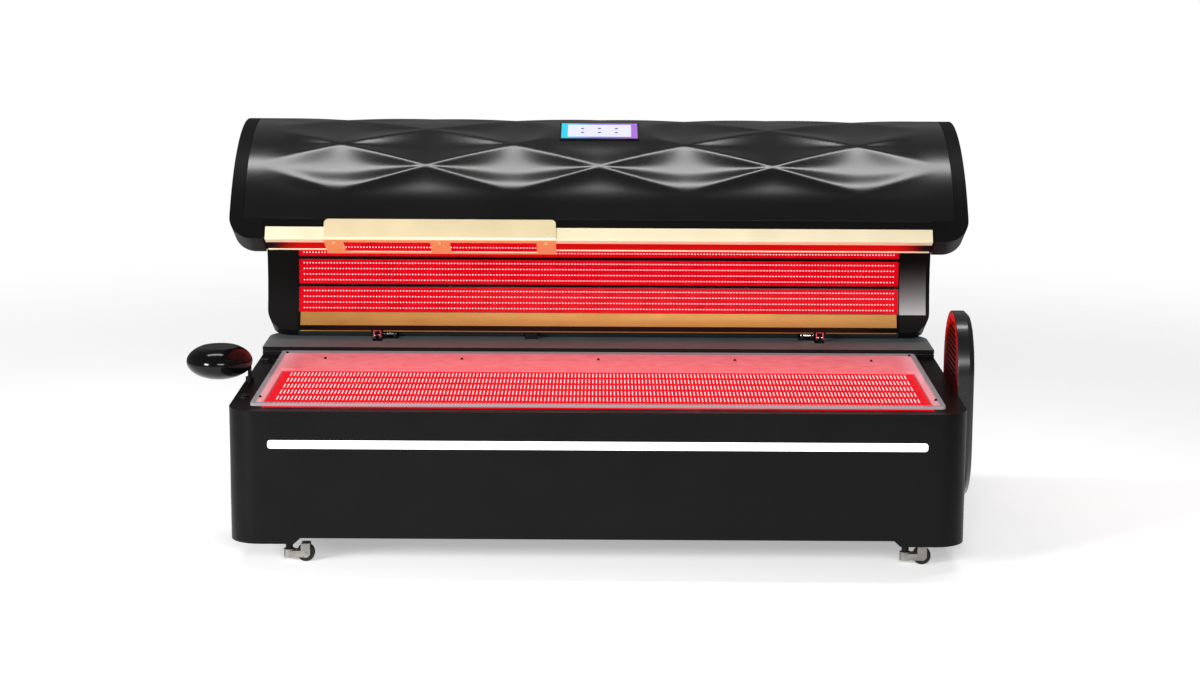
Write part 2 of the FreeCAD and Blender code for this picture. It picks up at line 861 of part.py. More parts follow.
def casters():
    stems = []
    corners = (("front_left", -1, -1), ("front_right", 1, -1), ("rear_left", -1, 1), ("rear_right", 1, 1))
    for label, side, row in corners:
        across = "%d*caster_x" % side
        along = "%d*caster_y" % row
        trail = across + "+caster_trail"
        plate = box("stem_plate_" + label, ("stem_plate_length", "stem_plate_width", "stem_plate"),
                    (across + "-stem_plate_length/2", along + "-stem_plate_width/2",
                     "pan_bottom-stem_plate"))
        post = cylinder("stem_post_" + label, "stem_radius", "pan_bottom-stem_bottom",
                        (across, along, "stem_bottom"))
        stems.append(fuse("stem_" + label, plate, post))

        ring = cylinder("fork_ring_" + label, "stem_radius+fork_ring_wall", "fork_ring_height",
                        (across, along, "stem_bottom-fork_ring_floor"))
        seat = cylinder("fork_seat_" + label, "stem_radius+swivel_play", "fork_ring_height",
                        (across, along, "stem_bottom-swivel_play"))
        bridge = box(
            "fork_bridge_" + label,
            ("caster_trail-wheel_radius-wheel_gap", "wheel_width+2*fork_side_gap+2*fork_cheek",
             "fork_arm_height"),
            (across, along + "-wheel_width/2-fork_side_gap-fork_cheek", "fork_arm_low"),
        )
        cheeks = []
        for n, edge in enumerate(("-wheel_width/2-fork_side_gap-fork_cheek", "+wheel_width/2+fork_side_gap")):
            cheeks.append(box("fork_cheek_%s_%d" % (label, n),
                              ("2*fork_boss", "fork_cheek", "fork_rise"),
                              (trail + "-fork_boss", along + edge, "wheel_radius")))
            cheeks.append(box("fork_arm_%s_%d" % (label, n),
                              ("caster_trail", "fork_cheek", "fork_arm_height"),
                              (across, along + edge, "fork_arm_low")))
            cheeks.append(cylinder("fork_boss_%s_%d" % (label, n), "fork_boss", "fork_cheek",
                                   (trail, along + edge, "wheel_radius"), "y"))
        axle = cylinder("fork_axle_" + label, "axle_radius", "wheel_width+2*axle_reach",
                        (trail, along + "-wheel_width/2-axle_reach", "wheel_radius"), "y")
        head = cut("fork_head_" + label, fuse("fork_top_" + label, ring, bridge), seat)
        keep(fuse("fork_" + label, head, axle, *cheeks), "caster_fork_" + label)

        disc = cylinder("wheel_disc_" + label, "wheel_radius", "wheel_width",
                        (trail, along + "-wheel_width/2", "wheel_radius"), "y")
        soft = rounded("wheel_soft_" + label, disc, "wheel_edge", lambda edge: len(edge.Vertexes) == 1)
        eye = cylinder("wheel_eye_" + label, "axle_radius+axle_play", "wheel_width+2",
                       (trail, along + "-wheel_width/2-1", "wheel_radius"), "y")
        keep(cut("wheel_" + label, soft, eye), "caster_wheel_" + label)
    keep(group("stem_set", stems), "caster_stems")


# hinge, cable hood and lift struts on the base

def hinge_base():
    beam_top = "deck_top+beam_height"
    brackets = []
    pins = []
    for side in (-1, 1):
        middle = "%d*hinge_x" % side
        tag = "left" if side < 0 else "right"
        parts = [box("foot_" + tag, ("foot_length", "foot_depth", "foot_plate"),
                     (middle + "-foot_length/2", "hinge_y-foot_depth/2", beam_top))]
        for n, edge in enumerate(("-ear_inside-ear_thickness", "+ear_inside")):
            parts.append(box("ear_box_%s_%d" % (tag, n),
                             ("ear_thickness", "2*ear_radius", "hinge_z-deck_top-beam_height"),
                             (middle + edge, "hinge_y-ear_radius", beam_top)))
            parts.append(cylinder("ear_%s_%d" % (tag, n), "ear_radius", "ear_thickness",
                                  (middle + edge, "hinge_y", "hinge_z"), "x"))
        bore = cylinder("ear_bore_" + tag, "pin_radius+pin_play", "foot_length",
                        (middle + "-foot_length/2", "hinge_y", "hinge_z"), "x")
        brackets.append(cut("bracket_" + tag, fuse("bracket_solid_" + tag, *parts), bore))
        shank = cylinder("pin_shank_" + tag, "pin_radius", "2*ear_inside+2*ear_thickness",
                         (middle + "-ear_inside-ear_thickness", "hinge_y", "hinge_z"), "x")
        heads = [cylinder("pin_head_%s_%d" % (tag, n), "pin_radius+pin_head_margin", "pin_head",
                          (middle + edge, "hinge_y", "hinge_z"), "x")
                 for n, edge in enumerate(("-ear_inside-ear_thickness-pin_head",
                                           "+ear_inside+ear_thickness"))]
        pins.append(fuse("pin_" + tag, shank, *heads))
    keep(group("bracket_set", brackets), "hinge_brackets")
    keep(group("pin_set", pins), "hinge_pins")
    block = box("hood_block", ("2*hood_half", "2*hood_radius", "hinge_z-deck_top-beam_height"),
                ("hood_x-hood_half", "hinge_y-hood_radius", beam_top))
    crown = cylinder("hood_crown", "hood_radius", "2*hood_half",
                     ("hood_x-hood_half", "hinge_y", "hinge_z"), "x")
    hole = cylinder("hood_hole", "hood_bore", "beam_height", ("hood_x", "hinge_y", beam_top + "-1"))
    keep(cut("hood", fuse("hood_solid", block, crown), hole), "cable_hood")


def lift_struts():
    seat = "pan_bottom+pan_plate+tube_size"
    bodies = []
    swing = math.radians(size("open_angle"))
    eye_z = size("hinge_z") + size("stud_z") * math.cos(swing) - size("stud_y") * math.sin(swing)
    for side in (-1, 1):
        tag = "left" if side < 0 else "right"
        column = "%d*strut_x" % side
        tube = cylinder("strut_tube_" + tag, "strut_radius", "strut_length", (column, "strut_y", seat))
        bore = cylinder("strut_bore_" + tag, "rod_radius+rod_play", "strut_length-strut_bore_start+1",
                        (column, "strut_y", seat + "+strut_bore_start"))
        bodies.append(cut("strut_body_" + tag, tube, bore))
        rod = cylinder("rod_bar_" + tag, "rod_radius", "%.3f-eye_neck-rod_bottom" % eye_z,
                       (column, "strut_y", "rod_bottom"))
        eye = cylinder("rod_eye_" + tag, "eye_radius", "eye_width",
                       (column + "-eye_width/2", "strut_y", "%.3f" % eye_z), "x")
        hole = cylinder("rod_hole_" + tag, "eye_bore", "eye_width+2",
                        (column + "-eye_width/2-1", "strut_y", "%.3f" % eye_z), "x")
        keep(cut("strut_rod_shape_" + tag, fuse("rod_solid_" + tag, rod, eye), hole),
             "strut_rod_" + tag)
    keep(group("strut_set", bodies), "strut_cylinders")


# push buttons on the deck

def buttons():
    rings = []
    for label in ("rear", "front"):
        row = "button_%s_y" % label
        ring = cone("bezel_ring_" + label, "bezel_radius", "bezel_radius-bezel_taper", "bezel_height",
                    ("button_x", row, "deck_top"))
        hole = cylinder("bezel_hole_" + label, "cap_radius+button_play", "bezel_height",
                        ("button_x", row, "deck_top+bezel_floor"))
        stem_hole = cylinder("bezel_stem_" + label, "button_stem+button_play", "bezel_height+2",
                             ("button_x", row, "deck_top-1"))
        rings.append(cut("bezel_" + label, ring, hole, stem_hole))
        low = "deck_top+bezel_floor+button_travel+button_play"
        disc = cylinder("button_disc_" + label, "cap_radius", "button_disc", ("button_x", row, low))
        crown = cone("button_crown_" + label, "cap_radius", "cap_radius-button_taper", "button_crown",
                     ("button_x", row, low + "+button_disc"))
        stem = cylinder("button_stem_" + label, "button_stem",
                        "button_stem_drop+bezel_floor+button_travel+button_disc/2",
                        ("button_x", row, "deck_top-button_stem_drop"))
        keep(fuse("button_solid_" + label, disc, crown, stem), "button_" + label)
    keep(group("bezel_set", rings), "button_bezels")


# end tower

def stadium(name, shrink, left, thickness):
    radius = "tower_width/2-(%s)" % shrink
    low = "tower_bottom+tower_width/2"
    high = "tower_top-tower_width/2"
    slab = box(name + "_slab", (thickness, "2*(%s)" % radius, "%s-(%s)" % (high, low)),
               (left, "tower_y-(%s)" % radius, low))
    ends = [cylinder(name + "_end_%d" % n, radius, thickness, (left, "tower_y", level), "x")
            for n, level in enumerate((low, high))]
    return fuse(name, slab, *ends)


def tower():
    start = "bed_length/2"
    solid = stadium("tower_solid", "0", start, "tower_thickness")
    outer_face = size("bed_length") / 2 + size("tower_thickness")

    def on_outer_face(edge):
        return all(abs(vertex.Point.x - outer_face) < 0.01 for vertex in edge.Vertexes)

    edged = rounded("tower_edged", solid, "tower_chamfer", on_outer_face, "Part::Chamfer")
    hollow = stadium("tower_hollow", "tower_chamfer+tower_wall", start + "-1",
                     "tower_thickness-tower_wall+1")
    mouth = stadium("tower_mouth", "tower_wall", start + "-1", "grille_plate+1")
    keep(cut("tower_case", edged, hollow, mouth), "tower_shell")
    plate = stadium("grille_panel", "tower_wall+seam_gap", start, "grille_plate")
    slots = []
    for n in range(int(size("grille_count"))):
        level = "grille_low+%d*grille_pitch" % n
        slot_top = size("grille_low") + n * size("grille_pitch") + size("grille_height")
        rise = max(0, slot_top - size("tower_top") + size("tower_width") / 2)
        chord = 2 * math.sqrt((size("tower_width") / 2) ** 2 - rise ** 2) - 2 * size("grille_margin")
        wide = "min(grille_length;%.2f)" % chord
        slots.append(box("grille_slot_%d" % n, ("grille_plate+2", wide, "grille_height"),
                         (start + "-1", "tower_y-%s/2" % wide, level)))
    keep(cut("grille", plate, *slots), "tower_grille")


# pod on its stalk

def pod():
    centre = ("pod_x", "pod_y", "pod_z")
    below = box("pod_below", ("3*pod_radius", "3*pod_radius", "pod_foot+pod_split"),
                ("pod_x-1.5*pod_radius", "pod_y-1.5*pod_radius", "pod_z-pod_foot"))
    above = box("pod_above", ("3*pod_radius", "3*pod_radius", "pod_half_height"),
                ("pod_x-1.5*pod_radius", "pod_y-1.5*pod_radius", "pod_z+pod_split"))
    bowl = common("pod_bowl", ellipsoid("pod_egg_low", "pod_half_height", "pod_radius", centre), below)
    hollow = ellipsoid("pod_hollow", "pod_half_height-pod_wall", "pod_radius-pod_wall", centre)
    socket = cylinder("pod_socket", "stalk_radius", "pod_half_height",
                      ("stalk_x", "pod_y", "pod_z-pod_half_height-stalk_depth"))
    keep(cut("pod_low", bowl, hollow, socket), "pod_body")
    lid = common("pod_cap", ellipsoid("pod_egg_high", "pod_half_height", "pod_radius", centre), above)
    dish = ellipsoid("pod_dish", "pod_dish_depth", "pod_radius-pod_dish_margin",
                     ("pod_x", "pod_y", "pod_z+pod_half_height+1"))
    keep(cut("pod_high", lid, dish), "pod_top")
    collar = cylinder("collar_ring", "collar_radius", "collar_height", ("stalk_x", "pod_y", "deck_top"))
    knob = cylinder("collar_knob", "knob_radius", "knob_reach+knob_root",
                    ("stalk_x", "pod_y-collar_radius-knob_reach", "deck_top+collar_height/2"), "y")
    bore = cylinder("collar_bore", "stalk_radius+pin_play", "collar_height",
                    ("stalk_x", "pod_y", "deck_top+collar_floor"))
    keep(cut("collar", fuse("collar_solid", collar, knob), bore), "pod_collar")
    foot = "deck_top+collar_floor+swivel_play"
    keep(cylinder("stalk", "stalk_radius", "pod_z-stalk_depth-(%s)" % foot, ("stalk_x", "pod_y", foot)),
         "pod_stalk")


# canopy

# block below the heel that clears the beam when the canopy stands open
def relief_block(name):
    item = doc.addObject("Part::Box", name)
    bind(item, {"Length": "bed_length+2", "Width": "arch_radius", "Height": "canopy_depth"})
    lean = FreeCAD.Rotation(FreeCAD.Vector(1, 0, 0), size("open_angle"))
    low = -size("relief") - size("canopy_depth")
    corner = FreeCAD.Vector(-size("bed_length") / 2 - 1, -size("hinge_set_in"), low)
    item.Placement = FreeCAD.Placement(lean.multVec(corner), lean)
    return item


# front view of the canopy with its lower corners rounded
def rounded_view(name):
    foot = size("rim_z") - size("hinge_z")
    slab = box(name + "_slab", ("bed_length", "3*arch_radius", "2*arch_radius"),
               ("-bed_length/2", "-2.2*arch_radius", rim_local))

    def lower_corner(edge):
        runs_back = abs(edge.tangentAt(edge.FirstParameter).y) > 0.999
        return runs_back and abs(edge.Vertexes[0].Point.z - foot) < 0.01

    return rounded(name, slab, "cap_foot", lower_corner)


def end_caps():
    view = rounded_view("canopy_view")
    for side, tag in ((-1, "left"), (1, "right")):
        left = "-bed_length/2" if side < 0 else "bed_length/2-cap_width"
        rebate_left = "-bed_length/2+cap_rim" if side < 0 else "bed_length/2-cap_width-1"
        hollow_left = "-bed_length/2+cap_wall" if side < 0 else "bed_length/2-cap_width-1"
        ring = half_ring("cap_ring_" + tag, "arch_inner", "arch_radius", left, "cap_width")
        rebate = half_ring("cap_rebate_" + tag, "rib_outer", "arch_radius+1", rebate_left,
                           "cap_width-cap_rim+1", rim_local + "+rail_height")
        hollow = half_ring("cap_hollow_" + tag, "arch_inner+cap_wall", "rib_outer-cap_wall",
                           hollow_left, "cap_width-cap_wall+1",
                           rim_local + "+cap_foot+cap_web")
        stepped = cut("cap_step_" + tag, common("cap_soft_" + tag, ring, view), rebate)
        shelled = cut("cap_open_" + tag, stepped, hollow)
        on_canopy(cut("cap_shape_" + tag, shelled, relief_block("cap_relief_" + tag)), "end_cap_" + tag)


# the rails are troughs, and the front one is built up from strips round the finger slots
def rail_trough(tag, row, inner, far):
    left = "-bed_length/2+cap_width+seam_gap"
    length = "bed_length-2*cap_width-2*seam_gap"
    near = inner + "+rail_wall"
    ring = half_ring("rail_ring_" + tag, inner, "arch_radius", left, length)
    front_edge = arch_start_y + ("-arch_radius" if row < 0 else "")
    zone = box("rail_zone_" + tag, (length, "arch_radius", "rail_height"), (left, front_edge, rim_local))
    trough_front = arch_start_y + ("-(%s)" % far if row < 0 else "+%s" % near)
    trough = box("rail_trough_" + tag,
                 (length + "+2", "%s-(%s)" % (far, near), "rail_height"),
                 (left + "-1", trough_front, rim_local + "+rail_wall"))
    return cut("rail_channel_" + tag, common("rail_bar_" + tag, ring, zone), trough)


# angle on the front rail's back wall, up to the foot of the first light strip
def rail_ledge():
    left = "-bed_length/2+cap_width+seam_gap"
    length = "bed_length-2*cap_width-2*seam_gap"
    start = arch_start_y + "-lip_inner-rail_wall"
    end = arch_start_y + "-tray_foot_y"
    low = rim_local + "+rail_height"
    top = arch_start_z + "+tray_foot_z-ledge_play"
    shelf = box("ledge_shelf", (length, "%s-(%s)" % (end, start), "ledge_plate"), (left, start, low))
    flange = box("ledge_flange", (length, "ledge_plate", "%s-(%s)" % (top, low)),
                 (left, end + "-ledge_plate", low))
    return fuse("ledge", shelf, flange)


def front_rail():
    left = "-bed_length/2+cap_width+seam_gap"
    right = "bed_length/2-cap_width-seam_gap"
    channel = rail_trough("front", -1, "lip_inner", "arch_radius-rail_wall-rail_rib")
    slot_start = "slot_front-hinge_y-slot_margin"
    before_slots = box("rail_before", ("bed_length", "arch_radius", "arch_radius"),
                       ("-bed_length/2", slot_start + "-arch_radius", rim_local))
    strips = [common("rail_front_strip", channel, before_slots), rail_ledge()]
    floors = (
        (left, "slot_a_left-slot_margin"),
        ("slot_a_left+slot_length+slot_margin", "slot_b_left-slot_margin"),
        ("slot_b_left+slot_length+slot_margin", right),
    )
    for n, (start, end) in enumerate(floors):
        extent = ("%s-(%s)" % (end, start), "arch_radius", "arch_radius")
        span = box("rail_span_%d" % n, extent, (start, slot_start, rim_local))
        strips.append(common("rail_floor_%d" % n, channel, span))
    on_canopy(group("rail_strips", strips), "front_rail")


def rear_rail():
    channel = rail_trough("rear", 1, "arch_inner", "hinge_y-arch_y+heel_start")
    notch_start = rim_local + "-notch_height/2"
    tools = [relief_block("rail_relief")]
    for side in (-1, 1):
        tools.append(box("rail_notch_%d" % side, ("notch_length", "notch_depth", "notch_height"),
                         ("%d*hinge_x-notch_length/2" % side, "-notch_depth/2", notch_start)))
    tools.append(box("rail_hood", ("2*hood_half+2*slot_margin", "notch_depth", "notch_height"),
                     ("hood_x-hood_half-slot_margin", "-notch_depth/2", notch_start)))
    tools.append(box("rail_wall_step", ("bed_length", "arch_inner+rail_wall", "rail_height"),
                     ("-bed_length/2", arch_start_y, rim_local + "+rear_wall_height")))
    on_canopy(cut("rail_shape_rear", channel, *tools), "rear_rail")


def ribs():
    plates = []
    for n in (-2, -1, 0, 1, 2):
        left = "%d*rib_pitch-rib_thickness/2" % n
        plates.append(half_ring("rib_%d" % n, "rib_inner", "rib_outer", left, "rib_thickness",
                                rim_local + "+rail_wall"))
    behind = box("rib_heel", ("bed_length", "arch_radius", "rail_height"),
                 ("-bed_length/2", arch_start_y, rim_local))
    before = box("rib_toe", ("bed_length", "arch_radius", "rail_height+ledge_plate"),
                 ("-bed_length/2", arch_start_y + "-arch_radius", rim_local))
    on_canopy(cut("rib_set", group("rib_plates", plates), behind, before), "canopy_ribs")


# lattice of shallow diamonds: ridges run between the raised corners, each diamond's middle is dished
def diamond_shell():
    centre = FreeCAD.Vector(0, size("arch_y") - size("hinge_y"), size("arch_z") - size("hinge_z"))
    radius = size("arch_radius")
    inner = size("shell_inner")
    half = size("bed_length") / 2 - size("cap_rim") - size("seam_gap")
    step = 180 / round(size("diamond_row_count"))
    foot = size("rim_z") + size("rail_height") + size("seam_gap") - size("arch_z")
    columns = [-half] + [n * size("diamond_width") for n in range(-3, 4)] + [half]
    low = math.degrees(math.asin(foot / radius))
    rows = [low] + [(n + 0.5) * step for n in range(1, round(size("diamond_row_count")) - 1)] + [180 - low]
    last_column = len(columns) - 1
    last_row = len(rows) - 1

    def point(column, row, distance):
        angle = math.radians(rows[row])
        return centre + FreeCAD.Vector(columns[column], -distance * math.cos(angle),
                                       distance * math.sin(angle))

    def outside(column, row):
        edge = column in (0, last_column) or row in (0, last_row)
        dished = (column + row) % 2 == 1 and not edge
        return point(column, row, radius - size("dish_depth") if dished else radius)

    def within(column, row):
        if row in (0, last_row):
            reach = math.sqrt(inner ** 2 - foot ** 2)
            return centre + FreeCAD.Vector(columns[column], -reach if row == 0 else reach, foot)
        return point(column, row, inner)

    def face(points):
        return Part.Face(Part.makePolygon(points + points[:1]))

    faces = []
    for column in range(last_column):
        for row in range(last_row):
            a = outside(column, row)
            b = outside(column + 1, row)
            c = outside(column + 1, row + 1)
            d = outside(column, row + 1)
            if (column + row) % 2 == 0:
                faces += [face([a, b, c]), face([a, c, d])]
            else:
                faces += [face([a, b, d]), face([b, c, d])]
    for row in range(last_row):
        faces.append(face([within(0, row), within(last_column, row), within(last_column, row + 1),
                           within(0, row + 1)]))
    for column in (0, last_column):
        around = [outside(column, row) for row in range(last_row + 1)]
        back = [within(column, row) for row in range(last_row, -1, -1)]
        faces.append(face(around + back))
    for row in (0, last_row):
        front = [outside(column, row) for column in range(last_column + 1)]
        faces.append(face(front + [within(last_column, row), within(0, row)]))
    sewn = Part.makeShell(faces)
    sewn.sewShape()
    solid = Part.makeSolid(sewn)
    if solid.Volume < 0:
        solid.reverse()
    return solid


def canopy_shell():
    lattice = doc.addObject("Part::Feature", "diamond_lattice")
    lattice.Shape = diamond_shell()
    window = ray_box(
        "screen_window",
        ("screen_width+2*screen_frame+2*screen_play", "screen_height+2*screen_frame+2*screen_play",
         "3*screen_depth"),
        size("arch_radius") + size("screen_depth"),
        size("screen_angle"),
    )
    on_canopy(cut("shell_shape", lattice, window), "canopy_shell")


def screen():
    outer = size("arch_radius") + size("screen_proud")
    turn = size("screen_angle")
    frame = ray_box("screen_block", ("screen_width+2*screen_frame", "screen_height+2*screen_frame",
                                     "screen_depth"), outer, turn)
    pocket = ray_box("screen_pocket", ("screen_width+2*screen_play", "screen_height+2*screen_play",
                                       "screen_glass+screen_proud"), outer + size("screen_proud"), turn)
    on_canopy(cut("screen_case", frame, pocket), "screen_bezel")
    glass = ray_box("screen_pane", ("screen_width", "screen_height", "screen_glass"), outer, turn)
    on_canopy(group("screen_glass_set", [glass]), "touch_screen")


def light_strips():
    covers = []
    trays = []
    boards = []
    seat = size("arch_inner") + size("cover_thickness")
    floor = seat + size("tray_pocket")
    for n in range(int(size("strip_count"))):
        turn = size("first_strip_angle") + size("strip_step_angle") * n
        covers.append(ray_box("cover_%d" % n, ("strip_length", "cover_width", "cover_thickness"), seat,
                              turn))
        block = ray_box("tray_block_%d" % n, ("strip_length", "tray_width", "tray_depth"),
                        seat + size("tray_depth"), turn)
        well = ray_box("tray_well_%d" % n,
                       ("strip_length-2*tray_lip", "tray_width-2*tray_lip", "tray_pocket+1"), floor, turn)
        trays.append(cut("strip_tray_%d" % n, block, well))
        extent = ("strip_length-2*tray_lip-2*board_play", "tray_width-2*tray_lip-2*board_play",
                  "board_thickness")
        boards.append(ray_box("strip_board_%d" % n, extent, floor, turn))
    on_canopy(group("tray_set", trays), "canopy_led_trays")
    on_canopy(group("board_set", boards), "canopy_led_boards")
    on_canopy(group("cover_set", covers), "canopy_covers")


def trims():
    left = "-trim_length/2"
    rim = rim_local
    face = half_ring("front_face", "arch_radius", "arch_radius+trim_thickness", left, "trim_length",
                     rim + "-trim_thickness")
    front_zone = box("front_trim_zone", ("trim_length", "arch_radius",
                                         "trim_front_height+trim_thickness"),
                     (left, arch_start_y + "-arch_radius-trim_thickness", rim + "-trim_thickness"))
    under = box("front_under", ("trim_length", "trim_under", "trim_thickness"),
                (left, arch_start_y + "-arch_radius-1", rim + "-trim_thickness"))
    line = box("front_line", ("trim_length", "line_height", "trim_thickness"),
               (left, arch_start_y + "-lip_inner-line_height", rim + "-trim_thickness"))
    clear = box("handle_room", ("handle_length+2*seam_gap", "2*lip_depth", "handle_clear+handle_bend"),
                ("handle_left-seam_gap", arch_start_y + "-arch_radius-lip_depth/2", rim + "-handle_clear"))
    angle = fuse("front_angle", common("front_strip", face, front_zone), under)
    on_canopy(cut("front_trim_set", group("front_trim_pair", [angle, line]), clear), "front_trim")

    inside = half_ring("rear_face", "arch_inner-trim_thickness", "arch_inner", left, "trim_length",
                       rim + "+trim_rear_low")
    rear_zone = box("rear_trim_zone", ("trim_length", "arch_inner", "trim_rear_height"),
                    (left, arch_start_y, rim + "+trim_rear_low"))
    low_line = box("rear_line", ("trim_length", "line_height", "trim_thickness"),
                   (left, arch_start_y + "+arch_inner", rim + "-trim_thickness"))
    gap = "window_length+2*slot_margin"
    gaps = [
        box("rear_line_gap_%d" % side, (gap, gap, "notch_depth"),
            ("%d*strut_x-(%s)/2" % (side, gap), "stud_y-(%s)/2" % gap, rim + "-notch_depth/2"))
        for side in (-1, 1)
    ]
    on_canopy(group("rear_trim_set", [common("rear_strip", inside, rear_zone),
                                      cut("rear_line_cut", low_line, *gaps)]), "rear_trim")


# folded angle, a back strip and three bridges that leave the finger slots between them
def handle():
    near = "arch_radius+trim_thickness"
    far = near + "+handle_plate"
    low = rim_local + "-handle_plate"
    front = arch_start_y + "-(%s)" % far
    slot_start = "slot_front-hinge_y"
    slot_end = "slot_front-hinge_y+slot_depth"
    bend_y = front + "+handle_bend"
    bend_z = low + "+handle_bend"
    ring = half_ring("handle_ring", near, far, "handle_left", "handle_length", bend_z)
    tall = "rail_height-handle_drop-handle_bend+handle_plate"
    zone = box("handle_zone", ("handle_length", "arch_radius", tall), ("handle_left", front, bend_z))
    roll = cylinder("handle_roll", "handle_bend", "handle_length", ("handle_left", bend_y, bend_z), "x")
    core = cylinder("handle_core", "handle_bend-handle_plate", "handle_length+2",
                    ("handle_left-1", bend_y, bend_z), "x")
    corner = box("handle_quarter", ("handle_length", "handle_bend", "handle_bend"),
                 ("handle_left", front, low))
    bend = common("handle_elbow", cut("handle_sleeve", roll, core), corner)
    lip = box("handle_lip", ("handle_length", "%s-(%s)" % (slot_start, bend_y), "handle_plate"),
              ("handle_left", bend_y, low))
    nibs = []
    tip = front + "-handle_plate"
    level = rim_local + "+rail_height-handle_drop-handle_corner"
    for n, edge in enumerate(("handle_left", "handle_left+handle_length-handle_corner")):
        square = box("handle_square_%d" % n, ("handle_corner", "handle_corner", "handle_corner"),
                     (edge, tip, level))
        hub_x = "handle_left+handle_corner" if n == 0 else edge
        hub = cylinder("handle_hub_%d" % n, "handle_corner", "handle_corner", (hub_x, tip, level), "y")
        nibs.append(cut("handle_nib_%d" % n, square, hub))
    fold = fuse("handle_fold", common("handle_front", ring, zone), bend, lip)
    plates = [cut("handle_angle", fold, *nibs)]
    back_end = arch_start_y + "-arch_inner+handle_reach"
    plates.append(box("handle_back", ("handle_length", "%s-(%s)" % (back_end, slot_end), "handle_plate"),
                      ("handle_left", slot_end, low)))
    bridges = (
        ("handle_left", "slot_edge"),
        ("slot_a_left+slot_length", "slot_gap"),
        ("slot_b_left+slot_length", "slot_edge"),
    )
    for n, (start, length) in enumerate(bridges):
        extent = (length, "slot_depth", "handle_plate")
        plates.append(box("handle_bridge_%d" % n, extent, (start, slot_start, low)))
        plates.append(cylinder("handle_screw_%d" % n, "handle_screw", "handle_screw_height",
                               (start + "+(%s)/2" % length, slot_start + "+handle_screw_inset",
                                low + "-handle_screw_height")))
    on_canopy(group("handle_set", plates), "pull_handle")


def hinge_arms():
    rim = rim_local
    arms = []
    for side in (-1, 1):
        tag = "left" if side < 0 else "right"
        middle = "%d*hinge_x" % side
        knuckle = cylinder("knuckle_" + tag, "knuckle_radius", "2*knuckle_half",
                           (middle + "-knuckle_half", "0", "0"), "x")
        web = box("arm_web_" + tag, ("arm_web", "arm_web_depth", "arm_rise+arm_bridge/2"),
                  (middle + "-arm_web/2", "-arm_web_depth/2", "0"))
        bridge = box("arm_bridge_" + tag, ("arm_bridge_length", "arm_bridge_depth", "arm_bridge"),
                     (middle + "-arm_bridge_length/2", "-arm_bridge_depth/2", "arm_rise"))
        foot = ("arm_foot", "arm_bridge_depth", "arm_rise-(%s)-rail_wall" % rim)
        feet = [
            box("arm_foot_%s_%d" % (tag, n), foot,
                (middle + edge, "-arm_bridge_depth/2", rim + "+rail_wall"))
            for n, edge in enumerate(("-arm_bridge_length/2", "+arm_bridge_length/2-arm_foot"))
        ]
        bore = cylinder("knuckle_bore_" + tag, "pin_radius+pin_play", "4*knuckle_half",
                        (middle + "-2*knuckle_half", "0", "0"), "x")
        arms.append(cut("arm_" + tag, fuse("arm_solid_" + tag, knuckle, web, bridge, *feet), bore))
        column = "%d*strut_x" % side
        plate = box("stud_plate_" + tag, ("stud_plate_length", "stud_plate_depth", "stud_plate"),
                    (column + "-stud_plate_length/2", "stud_y-stud_plate_depth/2", rim + "-stud_plate"))
        lugs = [
            box("stud_lug_%s_%d" % (tag, n),
                ("stud_lug", "stud_plate_depth", "%s-stud_z+stud_plate_depth/2" % rim),
                (column + edge, "stud_y-stud_plate_depth/2", "stud_z-stud_plate_depth/2"))
            for n, edge in enumerate(("-stud_plate_length/2", "+stud_plate_length/2-stud_lug"))
        ]
        stud = cylinder("stud_pin_" + tag, "stud_radius", "stud_plate_length-stud_lug/2",
                        (column + "-stud_plate_length/2+stud_lug/4", "stud_y", "stud_z"), "x")
        arms.append(fuse("stud_" + tag, plate, stud, *lugs))
    on_canopy(group("arm_set", arms), "hinge_arms")


def fans():
    outwards = FreeCAD.Rotation(FreeCAD.Vector(1, 0, 0), -90)
    fan("rear_fan", "rear_fan_frame", "rear_fan_rotor",
        ("fan_x", "bed_depth/2-panel_wall-fan_depth", "fan_z"), outwards)
    inwards = FreeCAD.Rotation(FreeCAD.Vector(0, 1, 0), -90)
    fan("end_fan", "tower_fan_frame", "tower_fan_rotor",
        ("bed_length/2+tower_thickness-tower_wall", "tower_y", "tower_fan_z"), inwards)


steps = (
    casing_panels, deck, rear_beam, base_pan, chassis, base_boards, acrylic_sheet, light_bar, electrics,
    fans, casters, hinge_base, lift_struts, buttons, tower, pod, end_caps, front_rail, rear_rail, ribs,
    canopy_shell, screen, light_strips, trims, handle, hinge_arms,
)
for step in steps:
    started = time.time()
    step()
    doc.recompute()
    print(step.__name__, "took %.1f s" % (time.time() - started), flush=True)

os.makedirs("parts", exist_ok=True)
for item in doc.Objects:
    if "Invalid" in item.State or "Error" in item.State:
        raise RuntimeError("%s could not be built: %s" % (item.Label, item.State))
for item in pieces:
    if item.Shape.isNull() or not item.Shape.isValid():
        raise RuntimeError("%s has no valid shape" % item.Label)
    item.Shape.exportStep("parts/%s.step" % item.Label)
    print(item.Label, len(item.Shape.Solids), "solids", round(item.Shape.Volume / 1000), "cm3")
print(len(pieces), "pieces")
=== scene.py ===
import math
import bmesh
import bpy
from mathutils import Matrix, Vector


